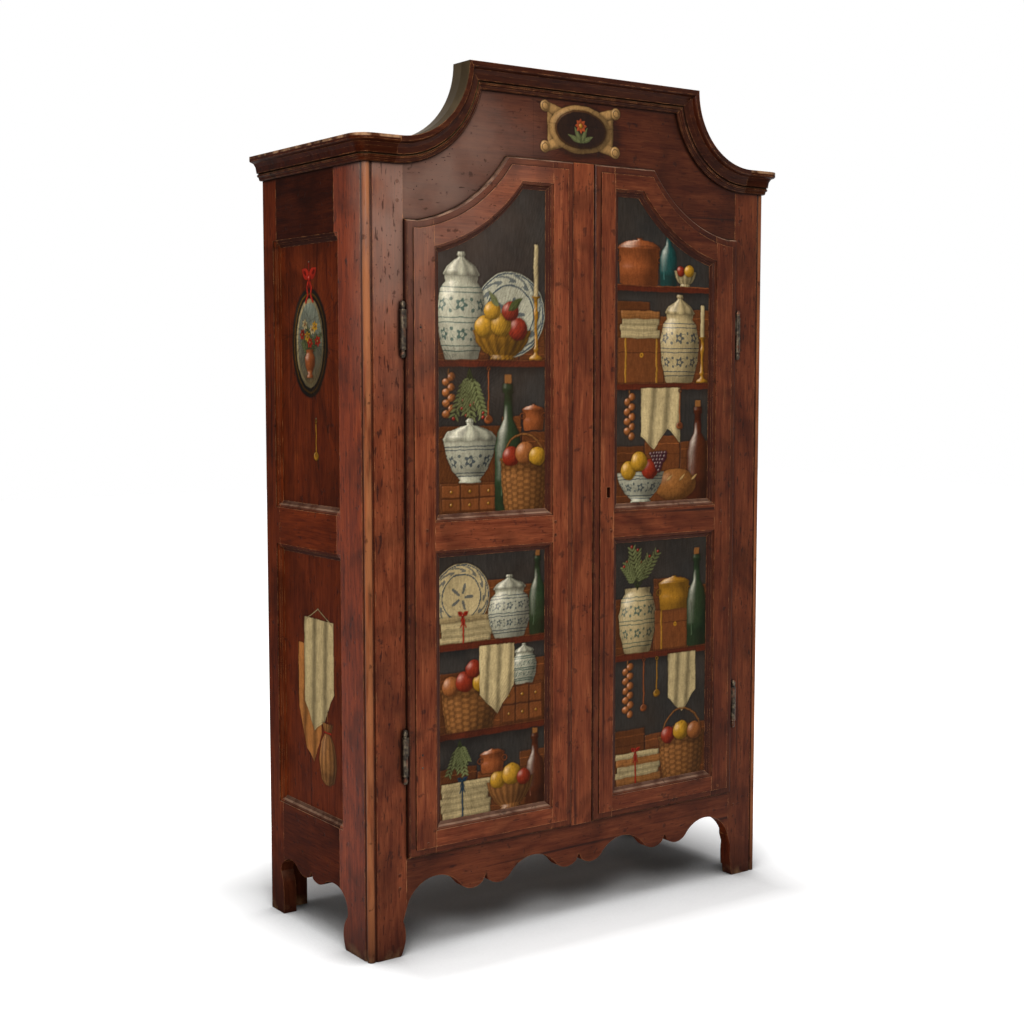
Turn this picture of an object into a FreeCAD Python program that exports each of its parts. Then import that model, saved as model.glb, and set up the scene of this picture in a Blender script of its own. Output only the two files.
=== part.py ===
import FreeCAD, Part
import math
import os
import re
import Sketcher
from FreeCAD import Placement, Rotation, Vector

# Tall two-door painted armoire: corner posts, panelled sides, a crested front and two arched doors.
# Millimetres. X runs to the right, the front faces -Y and +Z is up. The origin lies on the floor,
# under the middle of the whole piece. A depth of 0 below means the front face of the corner posts.

os.makedirs("parts", exist_ok=True)
DOC = FreeCAD.newDocument("armoire")

# ---------------------------------------------------------------- driving dimensions
DRIVING_SIZES = [
    # carcass
    ("crest_height", 2180),          # floor to the top of the raised crest
    ("sweep_radius", 194),           # of the cornice's sweep, and the drop from crest to low cornice
    ("carcass_width", 1284),         # outside the corner posts
    ("carcass_depth", 518),          # post front to post back
    ("post_width", 105),             # front face of a front post
    ("arch_offset", 25),             # from a post's inner edge out to the centre all the arches share
    ("post_wall", 36),               # wall of the L that each post is worked to
    ("rebate_depth", 16),            # how deep the doors sit between the posts
    ("stop_width", 12),              # lip behind the doors that they close against
    ("front_leg_depth", 146),        # side face of a front post, to the panel
    ("rear_leg_depth", 72),          # side face of a rear post, to the panel
    ("back_leg_width", 90),          # rear face of a rear post
    ("back_leg_wall", 30),
    ("bead_radius", 9.5),            # round bead on the front corners
    ("quirk_depth", 4.5),
    ("quirk_width", 3),
    ("bead_land", 2),
    ("tenon_thickness", 10),
    ("tenon_length", 40),
    ("tenon_shoulder", 10),          # shoulder above and below a tenon
    ("tenon_setback", 4),
    ("overrun", 5),                  # how far a cutting solid runs past what it cuts
    # feet and scalloped aprons
    ("foot_spring", 118),            # height where a front foot meets the apron
    ("foot_waist_height", 88),
    ("foot_waist_width", 95),
    ("foot_base_width", 88),
    ("foot_bulge", 10.5),
    ("side_spring", 150),
    ("side_waist_width", 108),
    ("side_base_width", 118),
    ("side_bulge", 17),
    ("side_knee", 12.8),
    ("slim_bulge", 3.3),             # the right foot is cut slimmer and straighter than the left
    ("slim_waist_width", 98),
    ("slim_base_width", 102),
    ("rear_spring", 142),
    ("rear_ankle_height", 45),
    ("rear_waist_height", 112),
    ("rear_waist_width", 54),
    ("rear_base_width", 70),
    ("rear_swell", 5),
    ("rear_knee", 5.6),
    ("apron_top", 242),
    ("apron_thickness", 30),
    ("apron_tenon_rise", 40),        # from the foot of the rail's end up to its tenon
    ("notch_spacing", 300),          # between the notches of the front apron
    ("notch_height", 163),
    ("notch_half_width", 9),
    ("lobe_inner_height", 146),
    ("lobe_end", 80),                # from a notch to where its lobe meets the next arch
    ("lobe_outer_height", 154),
    ("lobe_drop", 16.4),
    ("arch_rise", 31.3),
    ("outer_arch_rise", 48.6),
    ("side_notch_height", 153),
    ("side_inner_height", 137),
    ("side_lobe_end", 78),
    ("side_outer_height", 148),
    ("side_lobe_drop", 10.8),
    ("side_arch_rise", 5.8),
    ("rear_arch_rise", 12),
    # cornice
    ("cornice_height", 60),
    ("cornice_projection", 37),
    # panelled sides
    ("rail_thickness", 30),
    ("side_bottom_panel", 303),      # moulding's outer arris, lower panel
    ("side_mid_low", 990),
    ("side_mid_high", 1085),
    ("side_top_width", 156),         # from the cornice's lower edge down to the upper panel
    # mouldings worked on the frames around every panel
    ("moulding_width", 18),
    ("panel_setback", 13),
    ("panel_thickness", 10),
    ("panel_tongue", 10),
    # inside
    ("roof_thickness", 18),
    ("floor_thickness", 20),
    ("board_gap", 0.5),
    ("back_board_thickness", 12),
    ("back_rail_thickness", 26),
    ("back_rail_width", 95),
    ("back_boards_bottom", 192),
    ("shelf_thickness", 22),
    ("shelf_setback", 52),
    ("first_shelf", 660),
    ("second_shelf", 1050),
    ("third_shelf", 1440),
    ("cleat_height", 30),
    ("cleat_thickness", 24),
    # doors
    ("door_thickness", 30),
    ("door_proud", 15.5),
    ("door_gap", 2),
    ("meeting_gap", 3),
    ("sill_gap", 3),
    ("door_arch_radius", 389),
    ("arch_tail", 5),                # how far the arch would still drop where the shoulder cuts it
    ("door_crown_drop", 215),        # from the crest down to the top of the doors
    ("hinge_stile_width", 77),
    ("meeting_stile_width", 67),
    ("bottom_rail_width", 60),
    ("mid_rail_bottom", 1000),
    ("mid_rail_width", 70),
    ("crown_rail_width", 58),
    ("arch_rail_width", 67),
    ("lip_width", 19),
    ("lip_step", 2.5),
    ("lip_radius", 7),
    ("strip_width", 66),
    ("strip_setback", 6),
    ("strip_thickness", 22),
    # ironwork
    ("knuckle_radius", 7),
    ("knuckle_clearance", 1.5),
    ("knuckle_length", 48),
    ("knuckle_gap", 0.5),
    ("button_radius", 5),
    ("hinge_half_length", 66),
    ("hinge_pin_radius", 3),
    ("hinge_pin_reach", 38),
    ("pin_clearance", 0.05),
    ("leaf_thickness", 2.5),
    ("leaf_length", 30),
    ("leaf_setback", 2),
    ("upper_hinge_drop", 260),       # from the door's shoulder down to the knuckles' meeting line
    ("lower_hinge_rise", 255),
    ("keyhole_height", 1120),
    ("keyhole_offset", 46),          # from the meeting edge of the right door
    ("keyhole_width", 11),
    ("keyhole_length", 27),
    ("lock_width", 72),
    ("lock_height", 96),
    ("lock_thickness", 16),
    ("lock_edge", 4),
    ("lock_bolt_height", 22),
    ("lock_bolt_thickness", 7),
    ("lock_bolt_length", 56),
    ("lock_bolt_rise", 4),           # from the keyhole up to the bolt
    ("lock_travel", 14),
    ("iron_clearance", 0.3),
    ("iron_margin", 1),              # left round a bolt, wherever it isn't guided
    ("keeper_width", 22),
    ("keeper_wall", 4),
    ("keeper_margin", 10),
    ("slide_bolt_width", 10),
    ("slide_bolt_thickness", 6),
    ("slide_bolt_length", 150),
    ("slide_bolt_offset", 40),       # from the meeting edge of the left door
    ("slide_travel", 14),
    ("slide_plate_width", 30),
    ("slide_plate_length", 110),
    ("slide_plate_thickness", 2),
    ("plate_overhang", 4),
    ("knob_place", 90),              # from the bolt's end to its knob
    ("knob_width", 6),
    ("knob_depth", 9),
    ("staple_height", 10),
    ("staple_wall", 2.5),
    ("staple_setback", 6),
    ("bolt_end_gap", 2),
    ("bolt_hole_spare", 6),          # depth of a bolt's hole beyond its travel
]

SHEET = DOC.addObject("Spreadsheet::Sheet", "Sizes")
for row, (alias, size) in enumerate(DRIVING_SIZES, start=1):
    SHEET.set("A%d" % row, alias)
    SHEET.set("B%d" % row, str(size))
    SHEET.setAlias("B%d" % row, alias)
DOC.recompute()
NAMES = {alias for alias, size in DRIVING_SIZES}

# ---------------------------------------------------------------- derived places, as formulas
DERIVED = {
    "shoulder_height": "(crest_height - sweep_radius)",
    "arch_centre": "(carcass_width / 2 - post_width + arch_offset)",
    "side_top_panel": "(crest_height - sweep_radius - cornice_height - side_top_width)",
    "door_bottom": "(apron_top + sill_gap)",
    "door_shoulder": "(crest_height - door_arch_radius + arch_tail)",
    "door_crown": "(crest_height - door_crown_drop)",
    "upper_hinge": "(crest_height - door_arch_radius + arch_tail - upper_hinge_drop)",
    "lower_hinge": "(apron_top + sill_gap + lower_hinge_rise)",
}
HALF = "(carcass_width / 2)"
FRONT = "((cornice_projection - carcass_depth) / 2)"
BACK = "((cornice_projection + carcass_depth) / 2)"
POST_TOP = "(shoulder_height - cornice_height)"
RAIL_TOP = "(shoulder_height - roof_thickness)"
OPENING = "(carcass_width / 2 - post_width)"
DOOR_EDGE = "(carcass_width / 2 - post_width - door_gap)"
FACE = "(%s - door_proud)" % FRONT
DOOR_BACK = "(%s - door_proud + door_thickness)" % FRONT
PANEL_IN = "(strip_width / 2 + meeting_stile_width)"
PANEL_OUT = "(%s - hinge_stile_width)" % DOOR_EDGE
SIDE_FRONT = "(%s + front_leg_depth)" % FRONT
SIDE_REAR = "(%s - rear_leg_depth)" % BACK
INNER_WALL = "(carcass_width / 2 - post_wall)"
BACK_INNER = "(%s - back_board_thickness - back_rail_thickness)" % BACK


def formula(text):
    """The text as an expression: the sheet's name before each size, and derived places written out."""
    def qualified(match):
        word = match.group(0)
        if word in DERIVED:
            return formula(DERIVED[word])
        return "Sizes." + word if word in NAMES else word
    return re.sub(r"[a-z_]+", qualified, str(text))


def value(text):
    return float(SHEET.evalExpression(formula(text)))


def mirrored(side, text):
    """A place on the right of the middle, or the same place on the left."""
    return "(%s)" % text if side == "right" else "(-(%s))" % text


# ---------------------------------------------------------------- sketching
PLANES = {
    "front": ("XZ_Plane", Rotation(Vector(1, 0, 0), 90)),
    "side": ("YZ_Plane", Rotation(Vector(1, 1, 1), 120)),
    "plan": ("XY_Plane", Rotation()),
}
FLIPPED = {"left": "right", "right": "left", "left_major": "right_major", "right_major": "left_major"}


def flip(corners):
    """Mirrors an outline about its vertical axis."""
    turned = []
    for corner in corners:
        arc = ()
        if len(corner) == 4:
            arc = (corner[2], FLIPPED[corner[3]])
        turned.append(("-(%s)" % corner[0], corner[1]) + arc)
    return turned


def on_side(side, corners):
    return list(corners) if side == "right" else flip(corners)


def by_rise(corners):
    """Turns the rise of each arc above its chord into its radius."""
    bent = []
    for number, corner in enumerate(corners):
        if len(corner) == 4:
            far = corners[(number + 1) % len(corners)]
            across = "((%s) - (%s))" % (far[0], corner[0])
            along = "((%s) - (%s))" % (far[1], corner[1])
            rise = "(%s)" % corner[2]
            radius = "(%s ^ 2 + %s ^ 2) / (8 * %s) + %s / 2" % (across, along, rise, rise)
            corner = (corner[0], corner[1], radius, corner[3])
        bent.append(corner)
    return bent


def arc_between(start, end, radius, bend):
    """An arc whose centre is on the named side of the way from start to end."""
    chord = end - start
    reach = math.sqrt(max(radius ** 2 - (chord.Length / 2) ** 2, 0.0))
    normal = Vector(-chord.y, chord.x, 0).normalize()
    turn_left = bend.startswith("left")
    sign = 1 if turn_left else -1
    if bend.endswith("major"):
        sign = -sign
    centre = start + chord * 0.5 + normal * (sign * reach)
    angles = [math.atan2(point.y - centre.y, point.x - centre.x) for point in (start, end)]
    first, last = angles if turn_left else reversed(angles)
    if last <= first:
        last += 2 * math.pi
    circle = Part.Circle(centre, Vector(0, 0, 1), radius)
    return Part.ArcOfCircle(circle, first, last), turn_left


def bind_place(sketch, geometry, point, axis, text):
    """Holds one coordinate of a point to a formula."""
    if str(text) == "0":
        sketch.addConstraint(Sketcher.Constraint("PointOnObject", geometry, point, -1 if axis == "Y" else -2))
        return
    index = sketch.addConstraint(
        Sketcher.Constraint("Distance" + axis, -1, 1, geometry, point, value(text)))
    sketch.setExpression("Constraints[%d]" % index, formula(text))


def draw(sketch, corners):
    """Draws a closed outline. A corner with a radius and a bend starts an arc to the next corner."""
    points = [Vector(value(corner[0]), value(corner[1]), 0) for corner in corners]
    edges = []
    for number, corner in enumerate(corners):
        start = points[number]
        end = points[(number + 1) % len(points)]
        if len(corner) == 2:
            edges.append((sketch.addGeometry(Part.LineSegment(start, end)), 1, 2))
            continue
        arc, forward = arc_between(start, end, value(corner[2]), corner[3])
        geometry = sketch.addGeometry(arc)
        edges.append((geometry, 1, 2) if forward else (geometry, 2, 1))
    for number, corner in enumerate(corners):
        geometry, first, last = edges[number]
        before = edges[number - 1]
        sketch.addConstraint(Sketcher.Constraint("Coincident", before[0], before[2], geometry, first))
        bind_place(sketch, geometry, first, "X", corner[0])
        bind_place(sketch, geometry, first, "Y", corner[1])
        if len(corner) == 4:
            index = sketch.addConstraint(Sketcher.Constraint("Radius", geometry, value(corner[2])))
            sketch.setExpression("Constraints[%d]" % index, formula(corner[2]))


def place(item, x="0", y="0", z="0"):
    for axis, text in (("x", x), ("y", y), ("z", z)):
        if str(text) != "0":
            item.setExpression("Placement.Base." + axis, formula(text))


def free_sketch(name, plane, corners, offset):
    """A sketch outside any body, on one of the three planes and moved along its normal."""
    sketch = DOC.addObject("Sketcher::SketchObject", name)
    sketch.Placement = Placement(Vector(), PLANES[plane][1])
    draw(sketch, corners)
    axis = {"front": "y", "side": "x", "plan": "z"}[plane]
    place(sketch, **{axis: offset})
    return sketch


# ---------------------------------------------------------------- solids
def prism(name, plane, corners, start, thickness):
    """A body with one padded sketch, from start towards +X, +Y or +Z."""
    body = DOC.addObject("PartDesign::Body", name)
    sketch = body.newObject("Sketcher::SketchObject", name + "_outline")
    role = PLANES[plane][0]
    base_plane = [item for item in body.Origin.OriginFeatures if item.Role == role][0]
    sketch.AttachmentSupport = [(base_plane, "")]
    sketch.MapMode = "FlatFace"
    draw(sketch, corners)
    pad = body.newObject("PartDesign::Pad", name + "_pad")
    pad.Profile = sketch
    pad.Reversed = plane == "front"
    pad.setExpression("Length", formula(thickness))
    axis = {"front": "y", "side": "x", "plan": "z"}[plane]
    place(body, **{axis: start})
    return body


def box(name, x, y, z):
    """A board or block from pairs of limits."""
    block = DOC.addObject("Part::Box", name)
    for size, limits in (("Length", x), ("Width", y), ("Height", z)):
        block.setExpression(size, formula("(%s) - (%s)" % (limits[1], limits[0])))
    place(block, x[0], y[0], z[0])
    return block


def side_limits(side, near, far):
    """Limits in X of a block between two distances from the middle."""
    return (near, far) if side == "right" else ("-(%s)" % far, "-(%s)" % near)


def fuse(name, pieces):
    joined = DOC.addObject("Part::MultiFuse", name)
    joined.Shapes = list(pieces)
    joined.Refine = True
    return joined


def cut(name, base, tools):
    tool = tools[0] if len(tools) == 1 else fuse(name + "_tools", tools)
    result = DOC.addObject("Part::Cut", name)
    result.Base = base
    result.Tool = tool
    return result


def common(name, first, second):
    result = DOC.addObject("Part::Common", name)
    result.Base = first
    result.Tool = second
    return result


def group(name, pieces):
    result = DOC.addObject("Part::Compound", name)
    result.Links = list(pieces)
    return result


PARTS = {}


def keep(label, item):
    """Names a finished sub-part, which is written to a file of that name."""
    item.Label = label
    PARTS[label] = item
    return item


# ---------------------------------------------------------------- mouldings round the panels
# Distance in from the moulding's outer arris and depth below the frame's face: a fillet, an ovolo,
# a second fillet and a bevel that ends just above the panel.
STICKING = [(0, -0.08), (0, 0.14), (0.14, 0.17), (0.38, 0.3), (0.58, 0.66), (0.68, 0.72), (1, 0.94), (1, 1)]


def flare(name, plane, outline, face, inward):
    """The opening of a panel, flaring to the face as its moulding does. Outline gives the corners."""
    sections = []
    for number, (share_in, share_deep) in enumerate(STICKING):
        inset = "(moulding_width * %s)" % share_in
        depth = "(panel_setback * %s)" % share_deep
        offset = "(%s) %s %s" % (face, inward, depth)
        sections.append(free_sketch("%s_%d" % (name, number), plane, outline(inset), offset))
    loft = DOC.addObject("Part::Loft", name)
    loft.Sections = sections
    loft.Solid = True
    loft.Ruled = True
    return loft


def arch_x(radius, height):
    """Sideways place where an arch of this radius about the shared centre passes a height."""
    return "(arch_centre - sqrt((%s) ^ 2 - (crest_height - (%s)) ^ 2))" % (radius, height)


def arch_z(radius, place_x):
    return "(crest_height - sqrt((%s) ^ 2 - (arch_centre - (%s)) ^ 2))" % (radius, place_x)


# ---------------------------------------------------------------- corner posts
def front_post_plan():
    """Right front post seen from above, with the bead between its two quirks."""
    tangent = "(bead_radius + sqrt(bead_radius ^ 2 - (bead_radius - quirk_depth) ^ 2))"
    land = "(%s + bead_land)" % tangent
    quirk = "(%s + bead_land + quirk_width)" % tangent
    path = [
        ("0", quirk),
        ("quirk_depth", land),
        ("quirk_depth", tangent, "bead_radius", "left_major"),
        (tangent, "quirk_depth"),
        (land, "quirk_depth"),
        (quirk, "0"),
        ("post_width", "0"),
        ("post_width", "rebate_depth"),
        ("post_width + stop_width", "rebate_depth"),
        ("post_width + stop_width", "post_wall"),
        ("post_wall", "post_wall"),
        ("post_wall", "front_leg_depth"),
        ("0", "front_leg_depth"),
    ]
    return [("%s - (%s)" % (HALF, c[0]), "%s + (%s)" % (FRONT, c[1])) + tuple(
        (c[2], FLIPPED[c[3]]) if len(c) == 4 else ()) for c in path]


def rear_post_plan():
    path = [("0", "0"), ("0", "rear_leg_depth"), ("post_wall", "rear_leg_depth"),
            ("post_wall", "back_leg_wall"), ("back_leg_width", "back_leg_wall"), ("back_leg_width", "0")]
    return [("%s - (%s)" % (HALF, u), "%s - (%s)" % (BACK, w)) for u, w in path]


def front_foot_cut(side):
    """What is cut away beside a front foot, seen from the front: waist above, bulge below."""
    bulge = "foot_bulge" if side == "left" else "slim_bulge"
    path = [
        ("foot_base_width", "0", bulge, "left"),
        ("foot_waist_width", "foot_waist_height"),
        ("post_width", "foot_spring"),
        ("post_width + stop_width + overrun", "foot_spring"),
        ("post_width + stop_width + overrun", "-overrun"),
        ("foot_base_width", "-overrun"),
    ]
    return by_rise([("%s - (%s)" % (HALF, c[0]), c[1]) + tuple(
        (c[2], FLIPPED[c[3]]) if len(c) == 4 else ()) for c in path])


def side_foot_cut(side):
    """The same seen from the side, below the panelled side."""
    base, waist, bulge = "side_base_width", "side_waist_width", "side_bulge"
    if side == "right":
        base, waist, bulge = "slim_base_width", "slim_waist_width", "slim_bulge"
    path = [
        (base, "0", bulge, "left"),
        (waist, "foot_waist_height", "side_knee", "right"),
        ("front_leg_depth", "side_spring"),
        ("front_leg_depth + overrun", "side_spring"),
        ("front_leg_depth + overrun", "-overrun"),
        (base, "-overrun"),
    ]
    return by_rise([("%s + (%s)" % (FRONT, c[0]), c[1]) + tuple(c[2:]) for c in path])


def rear_foot_cut():
    path = [
        ("rear_base_width", "0"),
        ("rear_base_width", "rear_ankle_height", "rear_swell", "left"),
        ("rear_waist_width", "rear_waist_height", "rear_knee", "right"),
        ("rear_leg_depth", "rear_spring"),
        ("rear_leg_depth + overrun", "rear_spring"),
        ("rear_leg_depth + overrun", "-overrun"),
        ("rear_base_width", "-overrun"),
    ]
    return by_rise([("%s - (%s)" % (BACK, c[0]), c[1]) + tuple(
        (c[2], FLIPPED[c[3]]) if len(c) == 4 else ()) for c in path])


# ---------------------------------------------------------------- panelled sides
SIDE_PANELS = {
    "lower": ("side_bottom_panel", "side_mid_low"),
    "upper": ("side_mid_high", "side_top_panel"),
}


def side_opening(level):
    """Outline of a side panel's opening for an inset from the moulding's outer arris."""
    low, high = SIDE_PANELS[level]

    def outline(inset):
        near = "%s - moulding_width + %s" % (SIDE_FRONT, inset)
        far = "%s + moulding_width - %s" % (SIDE_REAR, inset)
        return [(near, "%s + %s" % (low, inset)), (far, "%s + %s" % (low, inset)),
                (far, "%s - %s" % (high, inset)), (near, "%s - %s" % (high, inset))]
    return outline


def side_apron_outline():
    """Bottom rail of a side: two arches, and a pair of lobes that meet at a notch."""
    middle = "((%s + %s) / 2)" % (SIDE_FRONT, SIDE_REAR)
    top = "side_bottom_panel + moulding_width"
    return by_rise([
        (SIDE_FRONT, "side_spring", "side_arch_rise", "right"),
        (middle + " - side_lobe_end", "side_outer_height", "side_lobe_drop", "left"),
        (middle + " - notch_half_width", "side_inner_height"),
        (middle, "side_notch_height"),
        (middle + " + notch_half_width", "side_inner_height", "side_lobe_drop", "left"),
        (middle + " + side_lobe_end", "side_outer_height", "rear_arch_rise", "right"),
        (SIDE_REAR, "rear_spring"),
        (SIDE_REAR, top),
        (SIDE_FRONT, top),
    ])


def side_top_outline():
    """Top rail of a side, with an ear that runs over the front post behind the frieze board."""
    low = "side_top_panel - moulding_width"
    return [(SIDE_FRONT, low), (SIDE_REAR, low), (SIDE_REAR, RAIL_TOP), ("%s + post_wall" % FRONT, RAIL_TOP),
            ("%s + post_wall" % FRONT, POST_TOP), (SIDE_FRONT, POST_TOP)]


SIDE_TENONS = {
    "bottom": ("side_spring + apron_tenon_rise", "side_bottom_panel - tenon_shoulder"),
    "middle": ("side_mid_low + tenon_shoulder", "side_mid_high - tenon_shoulder"),
    "top": ("side_top_panel + 2 * tenon_shoulder", "%s - 2 * tenon_shoulder" % POST_TOP),
}


def make_side(side):
    outer = side_limits(side, "%s - rail_thickness" % HALF, HALF)
    tenon_x = side_limits(side, "%s - panel_setback - tenon_thickness" % HALF, "%s - panel_setback" % HALF)
    tenons = {"front": [], "rear": []}
    blanks = {}
    middle_low = "side_mid_low - moulding_width"
    middle_high = "side_mid_high + moulding_width"
    outlines = {
        "bottom": side_apron_outline(),
        "top": side_top_outline(),
        "middle": [(SIDE_FRONT, middle_low), (SIDE_REAR, middle_low), (SIDE_REAR, middle_high),
                   (SIDE_FRONT, middle_high)],
    }
    for rail, outline in outlines.items():
        blank = prism("%s_side_%s_blank" % (side, rail), "side", outline, outer[0], "rail_thickness")
        pair = []
        for end, near, far in (("front", "%s - tenon_length" % SIDE_FRONT, SIDE_FRONT),
                               ("rear", SIDE_REAR, "%s + tenon_length" % SIDE_REAR)):
            tenon = box("%s_side_%s_%s_tenon" % (side, rail, end), tenon_x, (near, far), SIDE_TENONS[rail])
            tenons[end].append(tenon)
            pair.append(tenon)
        blanks[rail] = fuse("%s_side_%s_tenoned" % (side, rail), [blank] + pair)
    panels = []
    flares = []
    panel_x = side_limits(side, "%s - panel_setback - panel_thickness" % HALF, "%s - panel_setback" % HALF)
    for level, (low, high) in SIDE_PANELS.items():
        reach = "moulding_width - panel_tongue"
        panel = box("%s_%s_panel" % (side, level), panel_x,
                    ("%s - panel_tongue" % SIDE_FRONT, "%s + panel_tongue" % SIDE_REAR),
                    ("%s + %s" % (low, reach), "%s - (%s)" % (high, reach)))
        panels.append(keep("%s_%s_panel" % (side, level), panel))
        face, inward = (HALF, "-") if side == "right" else ("-" + HALF, "+")
        flares.append(flare("%s_%s_flare" % (side, level), "side", side_opening(level), face, inward))
    for rail, blank in blanks.items():
        keep("%s_side_%s_rail" % (side, rail), cut("%s_side_%s" % (side, rail), blank, panels + flares))

    post = prism(side + "_front_post_blank", "plan", on_side(side, front_post_plan()), "0", POST_TOP)
    front_cut = prism(side + "_front_foot_cut", "front", on_side(side, front_foot_cut(side)),
                      FRONT + " - overrun", "post_wall + 2 * overrun")
    side_x = side_limits(side, INNER_WALL + " - overrun", HALF + " + overrun")
    side_thickness = "post_wall + 2 * overrun"
    side_cut = prism(side + "_side_foot_cut", "side", side_foot_cut(side), side_x[0], side_thickness)
    flange_cut = box(side + "_flange_cut",
                     side_limits(side, OPENING + " - stop_width - overrun", OPENING),
                     (FRONT + " + rebate_depth - overrun", FRONT + " + post_wall + overrun"),
                     ("-overrun", "apron_top"))
    rear = prism(side + "_rear_post_blank", "plan", on_side(side, rear_post_plan()), "0", RAIL_TOP)
    rear_cut = prism(side + "_rear_foot_cut", "side", rear_foot_cut(), side_x[0], side_thickness)
    return (post, [front_cut, side_cut, flange_cut] + panels + flares + tenons["front"],
            rear, [rear_cut] + panels + flares + tenons["rear"])


# ---------------------------------------------------------------- front boards
def apron_outline():
    """Front apron from side to side: four arches between three pairs of lobes."""
    right = []
    for notch in ("0", "notch_spacing"):
        if notch != "0":
            right.append((notch + " - lobe_end", "lobe_outer_height", "lobe_drop", "left"))
            right.append((notch + " - notch_half_width", "lobe_inner_height"))
            right.append((notch, "notch_height"))
        right.append((notch + " + notch_half_width", "lobe_inner_height", "lobe_drop", "left"))
        arch = "arch_rise" if notch == "0" else "outer_arch_rise"
        right.append((notch + " + lobe_end", "lobe_outer_height", arch, "right"))
    right.append((OPENING, "foot_spring"))
    left = []
    for number in range(len(right) - 1, 0, -1):
        corner, before = right[number], right[number - 1]
        left.append(("-(%s)" % corner[0], corner[1]) + before[2:])
    left.append(("-(%s)" % right[0][0], right[0][1]))
    ends = [(OPENING, "apron_top"), ("-" + OPENING, "apron_top")]
    return by_rise(left + [("0", "notch_height")] + right + ends)


def arched_edge(radius, shoulder, crown, reach):
    """Lower edge of the frieze from left to right over both doors."""
    outer = arch_x(radius, shoulder)
    inner = arch_x(radius, crown)
    return [("-(%s)" % reach, shoulder), ("-" + outer, shoulder, radius, "left"), ("-" + inner, crown),
            (inner, crown, radius, "left"), (outer, shoulder), (reach, shoulder)]


def crest_edge():
    """Upper edge of the frieze from right to left, under the cornice and its crest."""
    radius = "sweep_radius"
    inner = "(arch_centre - (%s))" % radius
    return [("arch_centre", "shoulder_height", radius, "right"), (inner, "crest_height"),
            ("-" + inner, "crest_height", radius, "right"), ("-arch_centre", "shoulder_height")]


def make_frieze():
    front_edge = arched_edge("door_arch_radius - door_gap", "door_shoulder + door_gap",
                             "door_crown + door_gap", OPENING)
    ears = [(OPENING, POST_TOP), (HALF, POST_TOP), (HALF, "shoulder_height")]
    left_ears = [("-" + HALF, "shoulder_height"), ("-" + HALF, POST_TOP), ("-" + OPENING, POST_TOP)]
    front = prism("frieze_front", "front", front_edge + ears + crest_edge() + left_ears, FRONT,
                  "rebate_depth")
    behind = OPENING + " - stop_width"
    back_edge = arched_edge("door_arch_radius + stop_width", "door_shoulder - stop_width",
                            "door_crown - stop_width", behind)
    back_ears = [(behind, POST_TOP)] + ears[1:]
    back_left = left_ears[:2] + [("-(%s)" % behind, POST_TOP)]
    back = prism("frieze_back", "front", back_edge + back_ears + crest_edge() + back_left,
                 FRONT + " + rebate_depth", "post_wall - rebate_depth")
    tenons = []
    tenon_front = FRONT + " + rebate_depth + tenon_setback"
    for side in ("left", "right"):
        tenons.append(box(side + "_frieze_tenon",
                          side_limits(side, behind, behind + " + tenon_length"),
                          (tenon_front, tenon_front + " + tenon_thickness"),
                          ("door_shoulder + 2 * tenon_shoulder", POST_TOP + " - 2 * tenon_shoulder")))
    corners = []
    for side in ("left", "right"):
        square = box(side + "_ear_corner", side_limits(side, HALF + " - bead_radius", HALF + " + overrun"),
                     (FRONT + " - overrun", FRONT + " + bead_radius"), (POST_TOP, "shoulder_height"))
        round_part = DOC.addObject("Part::Cylinder", side + "_ear_round")
        round_part.setExpression("Radius", formula("bead_radius"))
        round_part.setExpression("Height", formula("cornice_height"))
        place(round_part, mirrored(side, HALF + " - bead_radius"), FRONT + " + bead_radius", POST_TOP)
        corners.append(cut(side + "_ear_waste", square, [round_part]))
    rounded = cut("frieze_rounded", fuse("frieze_blank", [front, back] + tenons), corners)
    return rounded, tenons


# ---------------------------------------------------------------- cornice
def quarter(start, end, hollow, cuts):
    """A quarter round between two corners, swelling out or hollowed in, planed in flats."""
    points = []
    for number in range(cuts + 1):
        turn = math.pi / 2 * number / cuts
        out, rise = (1 - math.cos(turn), math.sin(turn)) if hollow else (math.sin(turn), 1 - math.cos(turn))
        points.append((start[0] + (end[0] - start[0]) * out, start[1] + (end[1] - start[1]) * rise))
    return points


def half_round(start, end, swell, cuts):
    """A bead between two corners, one above the other, planed in flats."""
    points = []
    for number in range(cuts + 1):
        turn = math.pi * number / cuts
        rise = (1 - math.cos(turn)) / 2
        points.append((start[0] + swell * math.sin(turn), start[1] + (end[1] - start[1]) * rise))
    return points


# Share of the projection and share of the height, from the bottom up: an ovolo, a bead between two
# fillets, a deep cove and the flat top fillet.
CORNICE_PROFILE = (
    [(0, 0)] + quarter((0.2, 0), (0.3, 0.12), False, 2) + half_round((0.33, 0.14), (0.33, 0.28), 0.11, 3)
    + [(0.4, 0.31), (0.48, 0.325)] + quarter((0.48, 0.37), (0.92, 0.76), True, 3) + [(1, 0.8), (1, 1), (0, 1)]
)


def cornice_profile(base, away, low):
    """The cornice's section. Away is + or - for the way it projects from its base line."""
    corners = []
    for out, rise in CORNICE_PROFILE:
        corners.append(("(%s) %s cornice_projection * %.4f" % (base, away, out),
                        "(%s) + cornice_height * %.4f" % (low, rise)))
    return corners


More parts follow.
